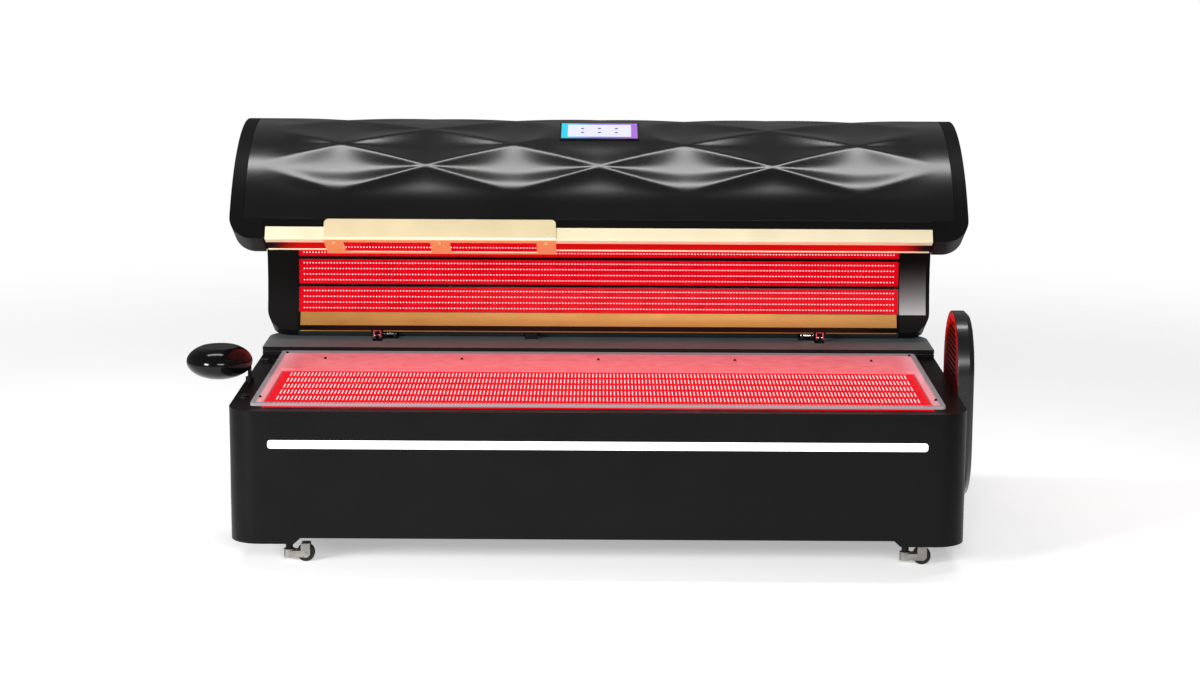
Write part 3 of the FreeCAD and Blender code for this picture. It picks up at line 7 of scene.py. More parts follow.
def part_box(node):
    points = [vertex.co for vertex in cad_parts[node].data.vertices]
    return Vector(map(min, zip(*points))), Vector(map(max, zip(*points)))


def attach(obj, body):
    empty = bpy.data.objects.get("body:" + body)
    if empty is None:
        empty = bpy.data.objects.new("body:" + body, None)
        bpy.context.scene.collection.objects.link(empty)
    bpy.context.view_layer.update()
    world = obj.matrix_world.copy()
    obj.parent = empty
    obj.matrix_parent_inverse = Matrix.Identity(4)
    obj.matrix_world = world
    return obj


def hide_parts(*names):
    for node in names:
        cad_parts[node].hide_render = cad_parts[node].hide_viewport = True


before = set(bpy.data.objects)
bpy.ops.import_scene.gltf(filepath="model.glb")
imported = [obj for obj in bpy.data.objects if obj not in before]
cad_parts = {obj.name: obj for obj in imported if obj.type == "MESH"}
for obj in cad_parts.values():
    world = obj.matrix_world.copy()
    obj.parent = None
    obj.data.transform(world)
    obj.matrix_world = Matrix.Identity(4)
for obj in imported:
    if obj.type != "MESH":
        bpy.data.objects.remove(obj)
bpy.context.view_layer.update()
print("frame loaded,", len(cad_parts), "nodes")

# canopy place: the arch's own frame, swung open about the hinge
canopy = {
    "hinge": (0, 0.475, 0.525),
    "open": 26.3,                  # degrees
    "arch": (0, -0.475, -0.010),   # arch centre from the hinge
    "radius": 0.557,
    "half": 1.0597,
}
canopyPlace = (Matrix.Translation(canopy["hinge"])
               @ Matrix.Rotation(math.radians(-canopy["open"]), 4, "X")
               @ Matrix.Translation(canopy["arch"]))


def onArch(x, turn, radius):
    angle = math.radians(turn)
    return canopyPlace @ Vector((x, -radius * math.cos(angle), radius * math.sin(angle)))


# a frame on the arch: X along the bed, Y up the arch, Z outwards
def archFrame(x, turn, radius):
    angle = math.radians(turn)
    rise, out = math.sin(angle), math.cos(angle)
    turned = Matrix(((1, 0, 0), (0, rise, -out), (0, out, rise))).to_4x4()
    return canopyPlace @ Matrix.Translation((x, -radius * out, radius * rise)) @ turned


noiseBand = (0.3, 0.7)       # most of a noise pattern lies between these
grainHeight = 0.0004


# colours are sRGB hex, shaders want linear
def linear(hexText):
    channels = [int(hexText[i:i + 2], 16) / 255 for i in (1, 3, 5)]
    return [c / 12.92 if c <= 0.04045 else ((c + 0.055) / 1.055) ** 2.4 for c in channels] + [1.0]


# pattern scale from a real size in millimetres
def perMetre(millimetres):
    return 1000.0 / millimetres


# adds a node, sets its properties, and fills or links its inputs
def addNode(tree, kind, inputs=None, **settings):
    node = tree.nodes.new(kind)
    for name, value in settings.items():
        setattr(node, name, value)
    for name, value in (inputs or {}).items():
        if isinstance(value, bpy.types.NodeSocket):
            tree.links.new(value, node.inputs[name])
        else:
            node.inputs[name].default_value = value
    return node


def startMaterial(name, sockets):
    material = bpy.data.materials.new(name)
    material.use_nodes = True
    tree = material.node_tree
    tree.nodes.clear()
    shader = addNode(tree, "ShaderNodeBsdfPrincipled", sockets)
    addNode(tree, "ShaderNodeOutputMaterial", {"Surface": shader.outputs[0]})
    place = addNode(tree, "ShaderNodeTexCoord").outputs["Object"]
    return material, tree, shader, place


# a surface grain as bump and a slow change of roughness
def addGrain(tree, shader, place, grain, bump, patch, rough, stretch=(1, 1, 1)):
    laid = addNode(tree, "ShaderNodeMapping", {"Vector": place, "Scale": stretch}).outputs[0]
    fine = addNode(tree, "ShaderNodeTexNoise", {
        "Vector": laid, "Scale": perMetre(grain), "Detail": 3.0}).outputs[0]
    slow = addNode(tree, "ShaderNodeTexNoise", {
        "Vector": place, "Scale": perMetre(patch), "Detail": 2.0}).outputs[0]
    spread = addNode(tree, "ShaderNodeMapRange", {
        "Value": slow, "From Min": noiseBand[0], "From Max": noiseBand[1],
        "To Min": rough[0], "To Max": rough[1]}).outputs[0]
    raised = addNode(tree, "ShaderNodeBump", {
        "Height": fine, "Strength": bump, "Distance": grainHeight}).outputs[0]
    tree.links.new(spread, shader.inputs["Roughness"])
    tree.links.new(raised, shader.inputs["Normal"])
    return {"fine": fine, "slow": slow}


# two near tones of one colour, mixed by a pattern
def addTones(tree, shader, pattern, tones, band=noiseBand, socket="Base Color"):
    ramp = addNode(tree, "ShaderNodeValToRGB", {"Fac": pattern})
    for element, position, tone in zip(ramp.color_ramp.elements, band, tones):
        element.position = position
        element.color = linear(tone)
    tree.links.new(ramp.outputs[0], shader.inputs[socket])


# finishes of grain and two tones: grain and patch in mm, grain drawn coarse enough to show
finishes = {
    # moulded ABS, satin black: soft wide highlights, a fine moulded grain
    "abs": {"name": "satinBlackAbs", "sockets": {"IOR": 1.46, "Specular IOR Level": 0.14},
            "grain": 1.6, "bump": 0.06, "patch": 160, "rough": (0.36, 0.46),
            "tones": ("#090808", "#0b0a0a")},
    # moulded ABS left matt: black with hardly any gloss
    "matt": {"name": "mattBlackAbs", "sockets": {"IOR": 1.46, "Specular IOR Level": 0.06},
             "grain": 1.6, "bump": 0.06, "patch": 160, "rough": (0.44, 0.52),
             "tones": ("#0b0a0a", "#0e0d0d")},
    # moulded ABS left matt: even dark grey
    "grey": {"name": "mattGreyAbs", "sockets": {"IOR": 1.46, "Specular IOR Level": 0.4},
             "grain": 1.6, "bump": 0.06, "patch": 160, "rough": (0.42, 0.5),
             "tones": ("#6d797a", "#758182")},
    # polished moulded ABS: deep black, sharp reflections
    "gloss": {"name": "glossBlackAbs", "sockets": {"IOR": 1.5, "Specular IOR Level": 0.25},
              "grain": 4, "bump": 0.012, "patch": 220, "rough": (0.10, 0.17),
              "tones": ("#0a0a0a", "#0e0d0d")},
    # satin lacquer on a moulded shell: broad soft glare in the dishes
    "lacquer": {"name": "satinBlackLacquer", "sockets": {"IOR": 1.5, "Specular IOR Level": 0.46},
                "grain": 3, "bump": 0.012, "patch": 300, "rough": (0.20, 0.24),
                "tones": ("#0b0b0b", "#0e0e0e")},
    # black anodised extrusion: fine draw lines along its length
    "anodised": {"name": "blackAnodisedAluminium", "sockets": {"Metallic": 0.25, "Specular IOR Level": 0.4},
                 "grain": 1.5, "bump": 0.05, "patch": 120, "rough": (0.28, 0.38), "stretch": (0.02, 1, 1),
                 "tones": ("#0c0c0d", "#121213")},
    # die-cast zinc: grey, slightly grainy
    "zinc": {"name": "dieCastZinc", "sockets": {"Metallic": 0.9},
             "grain": 2.0, "bump": 0.15, "patch": 30, "rough": (0.38, 0.52),
             "tones": ("#8d8a86", "#a8a49e")},
    # moulded rubber: dull black with dusty patches
    "rubber": {"name": "mouldedRubber", "sockets": {"Specular IOR Level": 0.35},
               "grain": 1.2, "bump": 0.2, "patch": 18, "rough": (0.55, 0.75),
               "tones": ("#0b0b0b", "#171615")},
    # chromed steel: mirror bright with faint unevenness
    "chrome": {"name": "chromedSteel", "sockets": {"Metallic": 1.0},
               "grain": 2.0, "bump": 0.02, "patch": 40, "rough": (0.08, 0.16),
               "tones": ("#d6d6d8", "#e8e8ea")},
    # blackened steel: dark, faintly mottled
    "dark": {"name": "blackenedSteel", "sockets": {"Metallic": 0.8},
             "grain": 1.5, "bump": 0.05, "patch": 25, "rough": (0.3, 0.45),
             "tones": ("#161616", "#242424")},
    # powder coat on sheet steel: fine orange peel
    "coat": {"name": "blackPowderCoat", "sockets": {"Specular IOR Level": 0.45},
             "grain": 2.5, "bump": 0.25, "patch": 90, "rough": (0.45, 0.58),
             "tones": ("#141414", "#1c1c1c")},
    # metallic paint on pressed steel: dark, fine flakes under a clear coat
    "tower": {"name": "darkMetallicPaint",
              "sockets": {"Metallic": 0.35, "Coat Weight": 0.4, "Coat Roughness": 0.1},
              "grain": 1.2, "bump": 0.03, "patch": 140, "rough": (0.25, 0.33),
              "tones": ("#161616", "#202020"), "toneBy": "fine"},
    # passivated steel case: cool grey with cloudy spangle
    "supply": {"name": "passivatedSteel", "sockets": {"Metallic": 0.9},
               "grain": 6, "bump": 0.02, "patch": 35, "rough": (0.3, 0.45),
               "tones": ("#9a9ea1", "#b4b8ba")},
    # green solder mask on a circuit board: even satin green
    "mask": {"name": "solderMask", "sockets": {"Specular IOR Level": 0.5},
             "grain": 3, "bump": 0.05, "patch": 20, "rough": (0.25, 0.4),
             "tones": ("#0d3f22", "#13522d")},
    # clear extruded acrylic over the lamps: almost invisible, a little gloss
    "cover": {"name": "clearAcrylicCover", "sockets": {"IOR": 1.49, "Alpha": 0.05, "Specular IOR Level": 0.1},
              "grain": 40, "bump": 0.01, "patch": 150, "rough": (0.08, 0.16),
              "tones": ("#40181c", "#502024")},
}

# anodised aluminium brushed along the bed: long soft streaks in three strengths of gold, and a warm gold
# tinted by painted red light from the lamps
trims = {
    "champagne": ("champagneAnodisedAluminium", 0.4, ("#f6e6bd", "#fbefcf")),
    "paleGold": ("paleGoldAnodisedAluminium", 0.45, ("#ecd8ab", "#f2e0b7")),
    # painted light: warm gold for the handle's underside, orange where the lamps' red light falls
    "redLitGold": ("goldAnodisedAluminiumPaintedRedLight", 0.45, ("#ecb26b", "#f0ba75")),
    "gold": ("goldAnodisedAluminium", 0.5, ("#946a2c", "#a27634")),
}
for key, (name, metal, tones) in trims.items():
    finishes[key] = {"name": name, "sockets": {"Metallic": metal},
                     "grain": 1.8, "bump": 0.05, "patch": 90, "rough": (0.30, 0.40), "stretch": (0.03, 1, 1),
                     "tones": tones, "toneBy": "fine", "band": (0.2, 0.8)}


def plainFinish(name, sockets, tones, toneBy="slow", band=noiseBand, **grain):
    material, tree, shader, place = startMaterial(name, sockets)
    noise = addGrain(tree, shader, place, **grain)
    addTones(tree, shader, noise[toneBy], tones, band)
    return material


# satin black ABS with painted light: the right cap's inner cheek is painted paler downwards, where the deck
# lights it
paintedCheekLight = {
    "edge": 1.088,         # inner side of the end cap
    "foot": 0.600,
    "top": 0.785,
    "edgeSoft": 0.001,
    "footSoft": 0.002,
    "fall": 2.0,           # the pale stays near the foot
    # black of the ABS, and the pale grey of the painted light
    "tones": ("#090808", "#b4bcbc"),
}


def cheekAbsPaintedLight():
    material, tree, shader, place = startMaterial("satinBlackAbsPaintedLight", {"IOR": 1.46, "Specular IOR Level": 0.08})
    addGrain(tree, shader, place, grain=1.6, bump=0.06, patch=160, rough=(0.42, 0.5))
    axes = addNode(tree, "ShaderNodeSeparateXYZ", {"Vector": place}).outputs
    fall = addNode(tree, "ShaderNodeMapRange", {
        "Value": axes[2], "From Min": paintedCheekLight["top"], "From Max": paintedCheekLight["foot"]}).outputs[0]
    curve = addNode(tree, "ShaderNodeMath", {0: fall, 1: paintedCheekLight["fall"]}, operation="POWER").outputs[0]
    inner = addNode(tree, "ShaderNodeMapRange", {
        "Value": axes[0], "From Min": paintedCheekLight["edge"],
        "From Max": paintedCheekLight["edge"] - paintedCheekLight["edgeSoft"]}).outputs[0]
    above = addNode(tree, "ShaderNodeMapRange", {
        "Value": axes[2], "From Min": paintedCheekLight["foot"] - paintedCheekLight["footSoft"],
        "From Max": paintedCheekLight["foot"]}).outputs[0]
    panel = addNode(tree, "ShaderNodeMath", {0: inner, 1: above}, operation="MULTIPLY").outputs[0]
    # painted light: how pale each point of the cheek is painted
    paintedLightShare = addNode(tree, "ShaderNodeMath", {0: curve, 1: panel}, operation="MULTIPLY").outputs[0]
    addTones(tree, shader, paintedLightShare, paintedCheekLight["tones"], (0.0, 1.0))
    return material


# gloss ABS flooded with red light, dark beyond the ends of the lamps
lip = {"lit": 0.88, "dark": 0.98, "glow": 0.66, "light": "#ff0100", "tones": ("#060101", "#090202")}


def litLip():
    material, tree, shader, place = startMaterial("redLitAbs", {
        "Specular IOR Level": 0.02, "Emission Color": linear(lip["light"])})
    noise = addGrain(tree, shader, place, grain=2.0, bump=0.04, patch=160, rough=(0.55, 0.65))
    addTones(tree, shader, noise["slow"], lip["tones"])
    axes = addNode(tree, "ShaderNodeSeparateXYZ", {"Vector": place}).outputs
    across = addNode(tree, "ShaderNodeMath", {0: axes[0]}, operation="ABSOLUTE").outputs[0]
    reach = addNode(tree, "ShaderNodeMapRange", {
        "Value": across, "From Min": lip["lit"], "From Max": lip["dark"],
        "To Min": lip["glow"], "To Max": 0.0}, interpolation_type="SMOOTHSTEP").outputs[0]
    tree.links.new(reach, shader.inputs["Emission Strength"])
    return material


def litBoard():  # white circuit board flooded with red light
    material, tree, shader, place = startMaterial("litCircuitBoard", {
        "Roughness": 0.8, "Specular IOR Level": 0.05, "Emission Strength": 1.0})
    glow = addNode(tree, "ShaderNodeTexNoise", {
        "Vector": place, "Scale": perMetre(60), "Detail": 2.0}).outputs[0]
    addTones(tree, shader, glow, ("#3a0004", "#46020a"))
    addTones(tree, shader, glow, ("#e00010", "#f0081c"), socket="Emission Color")
    return material


def lampLens(name, body, tones, strength):  # clear lens over a lit chip: an almost white spot
    material, tree, shader, place = startMaterial(name, {
        "Base Color": linear(body), "Roughness": 0.6, "Specular IOR Level": 0.1,
        "Emission Strength": strength})
    glow = addNode(tree, "ShaderNodeTexNoise", {
        "Vector": place, "Scale": perMetre(25), "Detail": 1.0}).outputs[0]
    addTones(tree, shader, glow, tones, socket="Emission Color")
    material.cycles.emission_sampling = "NONE"
    return material


def opalAcrylic():  # opal acrylic lit from behind: even white
    material, tree, shader, place = startMaterial("litOpalAcrylic", {
        "Roughness": 0.35, "Emission Strength": 1.15})
    glow = addNode(tree, "ShaderNodeTexNoise", {
        "Vector": place, "Scale": perMetre(80), "Detail": 1.0}).outputs[0]
    addTones(tree, shader, glow, ("#e8e8ec", "#f0f0f0"))
    addTones(tree, shader, glow, ("#fbfbff", "#ffffff"), socket="Emission Color")
    return material


# moulded grille lit red from the bed, most at its top and rim
grille = {
    "centre": (0, -0.113, 0.539),
    "rim": 0.140,
    "rimSoft": 0.006,
    "low": 0.50,
    "top": 0.70,
    "upper": (0.06, 0.8),  # glow from low to top
    "middle": 0.12,        # share of the glow inside the rim
}


def redGrille():
    material, tree, shader, place = startMaterial("redLitGrille", {"Specular IOR Level": 0.08})
    noise = addGrain(tree, shader, place, grain=1.5, bump=0.08, patch=60, rough=(0.3, 0.42))
    addTones(tree, shader, noise["slow"], ("#0a0202", "#0e0202"))
    addTones(tree, shader, noise["slow"], ("#c80408", "#d8060a"), socket="Emission Color")
    height = addNode(tree, "ShaderNodeSeparateXYZ", {"Vector": place}).outputs[2]
    upper = addNode(tree, "ShaderNodeMapRange", {
        "Value": height, "From Min": grille["low"], "From Max": grille["top"],
        "To Min": grille["upper"][0], "To Max": grille["upper"][1]}).outputs[0]
    centred = addNode(tree, "ShaderNodeMapping", {
        "Vector": place, "Location": -Vector(grille["centre"]), "Scale": (0, 1, 1)}).outputs[0]
    reach = addNode(tree, "ShaderNodeVectorMath", {0: centred}, operation="LENGTH").outputs["Value"]
    rim = addNode(tree, "ShaderNodeMapRange", {
        "Value": reach, "From Min": grille["rim"] - grille["rimSoft"], "From Max": grille["rim"],
        "To Min": grille["middle"], "To Max": 1.0}).outputs[0]
    glow = addNode(tree, "ShaderNodeMath", {0: upper, 1: rim}, operation="MULTIPLY").outputs[0]
    tree.links.new(glow, shader.inputs["Emission Strength"])
    return material


# cast acrylic sheet: clear over the lamps, frosted pink round them, a grey rim; the pink is painted light of
# the red lamps in the frosted acrylic, and the sheet's colour also glows as painted light
sheet = {
    "opacity": (0.03, 0.92),   # clear, frosted
    "rimOpacity": 0.85,
    "glow": 0.46,
    "cloud": 45,               # mm
    # painted light: pink of the lamps' red light in the frosted acrylic, paler towards the ends
    "lampGlowPink": ("#d9626f", "#ea98a2"),
    "paleLampGlowPink": "#eaa6ae",
    "rim": "#8a878c",
    "bands": {                 # axis, and where each change starts and ends
        "behind": ("y", -0.012, 0.004),
        "ends": ("x", 0.994, 1.006),
        "pale": ("x", 0.950, 1.023),
        "sideRim": ("x", 1.013, 1.021),
        "rearRim": ("y", 0.249, 0.259),
        "frontRim": ("y", -0.519, -0.527),
    },
}


def sheetAcrylic():
    material, tree, shader, place = startMaterial("castAcrylicSheet", {
        "IOR": 1.49, "Roughness": 0.1, "Specular IOR Level": 0.25, "Emission Strength": sheet["glow"]})
    axes = addNode(tree, "ShaderNodeSeparateXYZ", {"Vector": place}).outputs
    across = addNode(tree, "ShaderNodeMath", {0: axes[0]}, operation="ABSOLUTE").outputs[0]
    along = {"x": across, "y": axes[1]}
    shares = {}
    for band, (axis, start, end) in sheet["bands"].items():
        shares[band] = addNode(tree, "ShaderNodeMapRange", {
            "Value": along[axis], "From Min": start, "From Max": end},
            interpolation_type="SMOOTHSTEP").outputs[0]
    frosted = addNode(tree, "ShaderNodeMath", {
        0: shares["behind"], 1: shares["ends"]}, operation="MAXIMUM").outputs[0]
    rim = shares["sideRim"]
    for band in ("rearRim", "frontRim"):
        rim = addNode(tree, "ShaderNodeMath", {0: rim, 1: shares[band]}, operation="MAXIMUM").outputs[0]
    cloud = addNode(tree, "ShaderNodeTexNoise", {
        "Vector": place, "Scale": perMetre(sheet["cloud"]), "Detail": 4.0}).outputs[0]
    lampGlowPink = addNode(tree, "ShaderNodeValToRGB", {"Fac": cloud})
    lampGlowPink.color_ramp.elements[0].color = linear(sheet["lampGlowPink"][0])
    lampGlowPink.color_ramp.elements[1].color = linear(sheet["lampGlowPink"][1])
    pale = addNode(tree, "ShaderNodeMix", {
        0: shares["pale"], 6: lampGlowPink.outputs[0], 7: linear(sheet["paleLampGlowPink"])}, data_type="RGBA").outputs[2]
    colour = addNode(tree, "ShaderNodeMix", {
        0: rim, 6: pale, 7: linear(sheet["rim"])}, data_type="RGBA").outputs[2]
    cloudy = addNode(tree, "ShaderNodeMapRange", {
        "Value": frosted, "To Min": sheet["opacity"][0], "To Max": sheet["opacity"][1]}).outputs[0]
    edge = addNode(tree, "ShaderNodeMath", {0: rim, 1: sheet["rimOpacity"]}, operation="MULTIPLY").outputs[0]
    alpha = addNode(tree, "ShaderNodeMath", {0: cloudy, 1: edge}, operation="MAXIMUM").outputs[0]
    tree.links.new(colour, shader.inputs["Base Color"])
    tree.links.new(alpha, shader.inputs["Alpha"])
    # painted light: the sheet's colour glows
    tree.links.new(colour, shader.inputs["Emission Color"])
    return material


# lit glass panel: pale middle, border from cyan to violet
screen = {
    "half": 0.1165,
    "tall": 0.0625,
    "turn": 48.8,                # its place round the arch, degrees
    "radius": 0.560,             # its face from the arch's centre
    "bezel": 0.0055,             # from the glass to the skin's opening
    "seat": 0.555,               # radius at which that opening is measured
    "sideBorder": (0.018, 0.021),
    "levelBorder": (0.010, 0.013),
    "border": ("#08dcf8", "#b36fe0"),
    "borderMiddle": (0.45, "#6f7df0"),
    "middle": "#f0f0fc",
}
screenPlace = archFrame(0, screen["turn"], screen["radius"])


def screenGlass():
    material, tree, shader, place = startMaterial("litScreenGlass", {
        "Roughness": 0.12, "Emission Strength": 0.95, "Base Color": linear("#101014")})
    axes = addNode(tree, "ShaderNodeSeparateXYZ", {"Vector": place}).outputs
    share = addNode(tree, "ShaderNodeMapRange", {
        "Value": axes[0], "From Min": -screen["half"], "From Max": screen["half"]}).outputs[0]
    border = addNode(tree, "ShaderNodeValToRGB", {"Fac": share})
    border.color_ramp.elements[0].color = linear(screen["border"][0])
    border.color_ramp.elements[1].color = linear(screen["border"][1])
    border.color_ramp.elements.new(screen["borderMiddle"][0]).color = linear(screen["borderMiddle"][1])
    upwards = screenPlace.to_3x3() @ Vector((0, 1, 0))
    height = addNode(tree, "ShaderNodeVectorMath", {
        0: place, 1: upwards}, operation="DOT_PRODUCT").outputs["Value"]
    level = addNode(tree, "ShaderNodeMath", {
        0: height, 1: upwards.dot(screenPlace.translation)}, operation="SUBTRACT").outputs[0]
    rise = addNode(tree, "ShaderNodeMath", {0: level}, operation="ABSOLUTE").outputs[0]
    across = addNode(tree, "ShaderNodeMath", {0: axes[0]}, operation="ABSOLUTE").outputs[0]
    inSides = addNode(tree, "ShaderNodeMapRange", {
        "Value": across, "From Min": screen["half"] - screen["sideBorder"][0],
        "From Max": screen["half"] - screen["sideBorder"][1]}).outputs[0]
    inLevels = addNode(tree, "ShaderNodeMapRange", {
        "Value": rise, "From Min": screen["tall"] - screen["levelBorder"][0],
        "From Max": screen["tall"] - screen["levelBorder"][1]}).outputs[0]
    inside = addNode(tree, "ShaderNodeMath", {0: inSides, 1: inLevels}, operation="MULTIPLY").outputs[0]
    colour = addNode(tree, "ShaderNodeMix", {
        0: inside, 6: border.outputs[0], 7: linear(screen["middle"])}, data_type="RGBA").outputs[2]
    tree.links.new(colour, shader.inputs["Emission Color"])
    return material


looks = {key: plainFinish(**values) for key, values in finishes.items()}
looks["paintedCheekLight"] = cheekAbsPaintedLight()
looks["lip"] = litLip()
looks["board"] = litBoard()
looks["opal"] = opalAcrylic()
looks["grille"] = redGrille()
looks["sheet"] = sheetAcrylic()
looks["screen"] = screenGlass()
looks["lamp"] = lampLens("roundLampLens", "#701018", ("#ffccd0", "#ffdcdf"), 2.1)
looks["dash"] = lampLens("longLampLens", "#701018", ("#ffd4d8", "#ffe4e6"), 1.5)
looks["mark"] = lampLens("screenMark", "#101014", ("#7f78b8", "#958ac8"), 0.8)
print("materials made,", len(looks))


def addPiece(name, bm, look, body, slot, *nodes):
    mesh = bpy.data.meshes.new(name)
    bm.to_mesh(mesh)
    bm.free()
    mesh.materials.append(looks[look])
    piece = bpy.data.objects.new(name, mesh)
    bpy.context.scene.collection.objects.link(piece)
    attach(piece, body)
    if nodes:
        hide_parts(*nodes)
    return piece


def smoothFaces(bm, sharp):
    for face in bm.faces:
        face.smooth = True
    for edge in bm.edges:
        edge.smooth = len(edge.link_faces) == 2 and edge.calc_face_angle(0) < math.radians(sharp)


# plain nodes keep their shape and get a finish
nodeLooks = {
    "coat": ["base_pan", "chassis", "strut_cylinders", "canopy_ribs"],
    "board": ["base_led_boards", "canopy_led_boards"],
    "sheet": ["acrylic_sheet"],
    "supply": ["power_supplies", "sheet_standoffs"],
    "matt": ["sheet_screws"],
    "dark": ["caster_stems", "strut_rod_left", "strut_rod_right"],
    "mask": ["control_board"],
    "abs": ["power_inlet", "rear_fan_frame", "rear_fan_rotor", "tower_fan_frame", "tower_fan_rotor"],
    "chrome": ["hinge_pins", "hinge_arms"],
    "cover": ["canopy_covers"],
    "anodised": ["canopy_led_trays"],
    "screen": ["touch_screen"],
}
for look, nodes in nodeLooks.items():
    for node in nodes:
        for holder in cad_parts[node].material_slots:
            holder.material = looks[look]
print("plain nodes finished")

# moulded and machined nodes get broken edges: look, edge radius in mm, body, slot
edged = {
    "front_panel": ("abs", 1.2, "base", "casing"),
    "rear_panel": ("abs", 0.8, "base", "casing"),
    "end_panels": ("abs", 1.0, "base", "casing"),
    "deck": ("abs", 2.5, "base", "casing"),
    "rear_beam": ("grey", 3.0, "base", "casing"),
    "light_bar_lens": ("opal", 0.4, "base", "light_bar"),
    "hinge_brackets": ("dark", 0.8, "base", "dark_steel"),
    "cable_hood": ("abs", 1.5, "base", "black_plastic"),
    "button_bezels": ("dark", 0.5, "base", "bright_steel"),
    "button_front": ("gloss", 1.0, "front_button", "button"),
    "button_rear": ("gloss", 1.0, "rear_button", "button"),
    "tower_shell": ("tower", 2.0, "base", "tower"),
    "tower_grille": ("grille", 0.6, "base", "grille"),
    "pod_body": ("gloss", 0.8, "pod", "pod"),
    "pod_top": ("gloss", 0.8, "pod", "pod"),
    "pod_stalk": ("dark", 0.5, "pod", "dark_steel"),
    "pod_collar": ("dark", 0.8, "base", "dark_steel"),
    "end_cap_left": ("matt", 3.0, "canopy", "cap"),
    "end_cap_right": ("matt", 3.0, "canopy", "cap"),
    "front_rail": ("gloss", 0.8, "canopy", "rail"),
    "rear_rail": ("gloss", 0.8, "canopy", "rail"),
    "screen_bezel": ("gloss", 1.0, "canopy", "cap"),
    "front_trim": ("champagne", 0.8, "canopy", "gold"),
    "rear_trim": ("gold", 0.8, "canopy", "gold"),
    "pull_handle": ("paleGold", 1.2, "canopy", "gold"),
}
for corner in ("front_left", "front_right", "rear_left", "rear_right"):
    edged["caster_fork_" + corner] = ("zinc", 1.2, "fork_" + corner, "fork")
    edged["caster_wheel_" + corner] = ("rubber", 0.6, "wheel_" + corner, "wheel")

edges = {
    "merge": 0.00001,
    "flat": 0.4,           # faces this near to level are joined, degrees
    "sharp": 28,           # edges above this stay sharp, degrees
    "from": 35,            # edges above this are broken, degrees
    "segments": 2,
}

# faces of a node with a look of their own, all painted light and shade: the red-lit lip and lamp tray, the
# right cap's lit inner cheek, the beam's shaded front and back, the handle's red-lit underside
secondLooks = {
    "front_rail": "lip",
    "deck": "board",
    "end_cap_right": "paintedCheekLight",
    # painted shade: black on the beam's front and back, where they lie in shade
    "rear_beam": "abs",
    "pull_handle": "redLitGold",
}
facing = {"under": 0.95, "inner": 0.95, "upright": 0.9}   # cosine to the side meant
tray = {"half": 1.000, "front": -0.532, "rear": 0.116, "floor": 0.4625, "top": 0.4845, "step": 0.001}


def hasSecondLook(node, face):
    spot = face.calc_center_median()
    if node in ("front_rail", "pull_handle"):  # underside, lit by the lamps
        return face.normal.dot(canopyPlace.to_3x3() @ Vector((0, 0, -1))) > facing["under"]
    if node == "deck":                         # walls and floor of the lamp tray
        spot = spot + face.normal * tray["step"]
        return (abs(spot.x) < tray["half"] and tray["front"] < spot.y < tray["rear"]
                and tray["floor"] < spot.z < tray["top"])
    if node == "end_cap_right":                # inner cheek
        inwards = canopyPlace.translation - spot
        inwards.x = 0
        return face.normal.dot(inwards.normalized()) > facing["inner"]
    # painted shade: the beam's front and back faces
    return abs(face.normal.y) > facing["upright"]   # front and back of the beam


def edgedCopy(node, look, radius, body, slot):
    bm = bmesh.new()
    bm.from_mesh(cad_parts[node].data)
    bmesh.ops.remove_doubles(bm, verts=bm.verts, dist=edges["merge"])
    bmesh.ops.dissolve_limit(bm, angle_limit=math.radians(edges["flat"]), verts=bm.verts, edges=bm.edges)
    smoothFaces(bm, edges["sharp"])
    if node in secondLooks:
        for face in bm.faces:
            face.material_index = 1 if hasSecondLook(node, face) else 0
    piece = addPiece(node.replace("_", "") + "Edged", bm, look, body, slot, node)
    if node in secondLooks:
        piece.data.materials.append(looks[secondLooks[node]])
    broken = piece.modifiers.new("edges", "BEVEL")
    broken.width = radius / 1000
    broken.segments = edges["segments"]
    broken.profile = 0.5
    broken.limit_method = "ANGLE"
    broken.angle_limit = math.radians(edges["from"])
    broken.use_clamp_overlap = True
    broken.material = -1


for node, values in edged.items():
    edgedCopy(node, *values)
print("edged pieces made,", len(edged))


# canopy skin: crisp ridges between raised corners, a smooth dish in each diamond
skin = {
    "column": 0.2615,      # half a diamond along the bed
    "row": 11.25,          # half a diamond round the arch, degrees
    "low": 7.56,           # lower edge, degrees
    "dish": 0.013,
    "gain": 1.26,          # brings the middle of a dish to its full depth
    "power": 3,            # how square the dishes are
    "soft": 0.06,          # rounding of the ridges
    "parts": 20,           # faces across half a diamond
    "wall": 0.008,
    "endGap": 0.03,        # plain skin at both ends
    "endFade": 0.25,
    "footGap": 13,         # plain skin at the lower edges, degrees
    "footFade": 14,
    "flat": 0.100,         # the dishes fade out this near to the screen
    "underRow": 3,         # the diamond under the screen
    "under": 0.4,          # depth left in it
    "sharp": 60,
    "cut": 0.00001,
}
skinOpening = (screen["half"] + screen["bezel"],
               math.degrees((screen["tall"] + screen["bezel"]) / screen["seat"]))


def dishDepth(x, turn):
    across = x / skin["column"]
    up = turn / skin["row"] - 0.5
    rising = abs(math.sin(math.pi * (across + up) / 2))
    falling = abs(math.sin(math.pi * (across - up) / 2))
    ridge = (rising ** skin["power"] + falling ** skin["power"]) ** (1 / skin["power"])
    wave = skin["gain"] * rising * falling / max(0.0001, ridge)
    depth = skin["dish"] * (math.sqrt(wave ** 2 + skin["soft"] ** 2) - skin["soft"])
    if abs(across) + abs(up - skin["underRow"]) < 1:
        depth *= skin["under"]
    besideX = max(0.0, abs(x) - screen["half"] - screen["bezel"])
    besideTurn = math.radians(abs(turn - screen["turn"])) * screen["seat"] - screen["tall"] - screen["bezel"]
    ends = (canopy["half"] - skin["endGap"] - abs(x)) / skin["endFade"]
    foot = (min(turn, 180 - turn) - skin["footGap"]) / skin["footFade"]
    clear = math.hypot(besideX, max(0.0, besideTurn)) / skin["flat"]
    for fade in (ends, foot, clear):
        share = max(0.0, min(1.0, fade))
        depth *= share * share * (3 - 2 * share)
    return depth


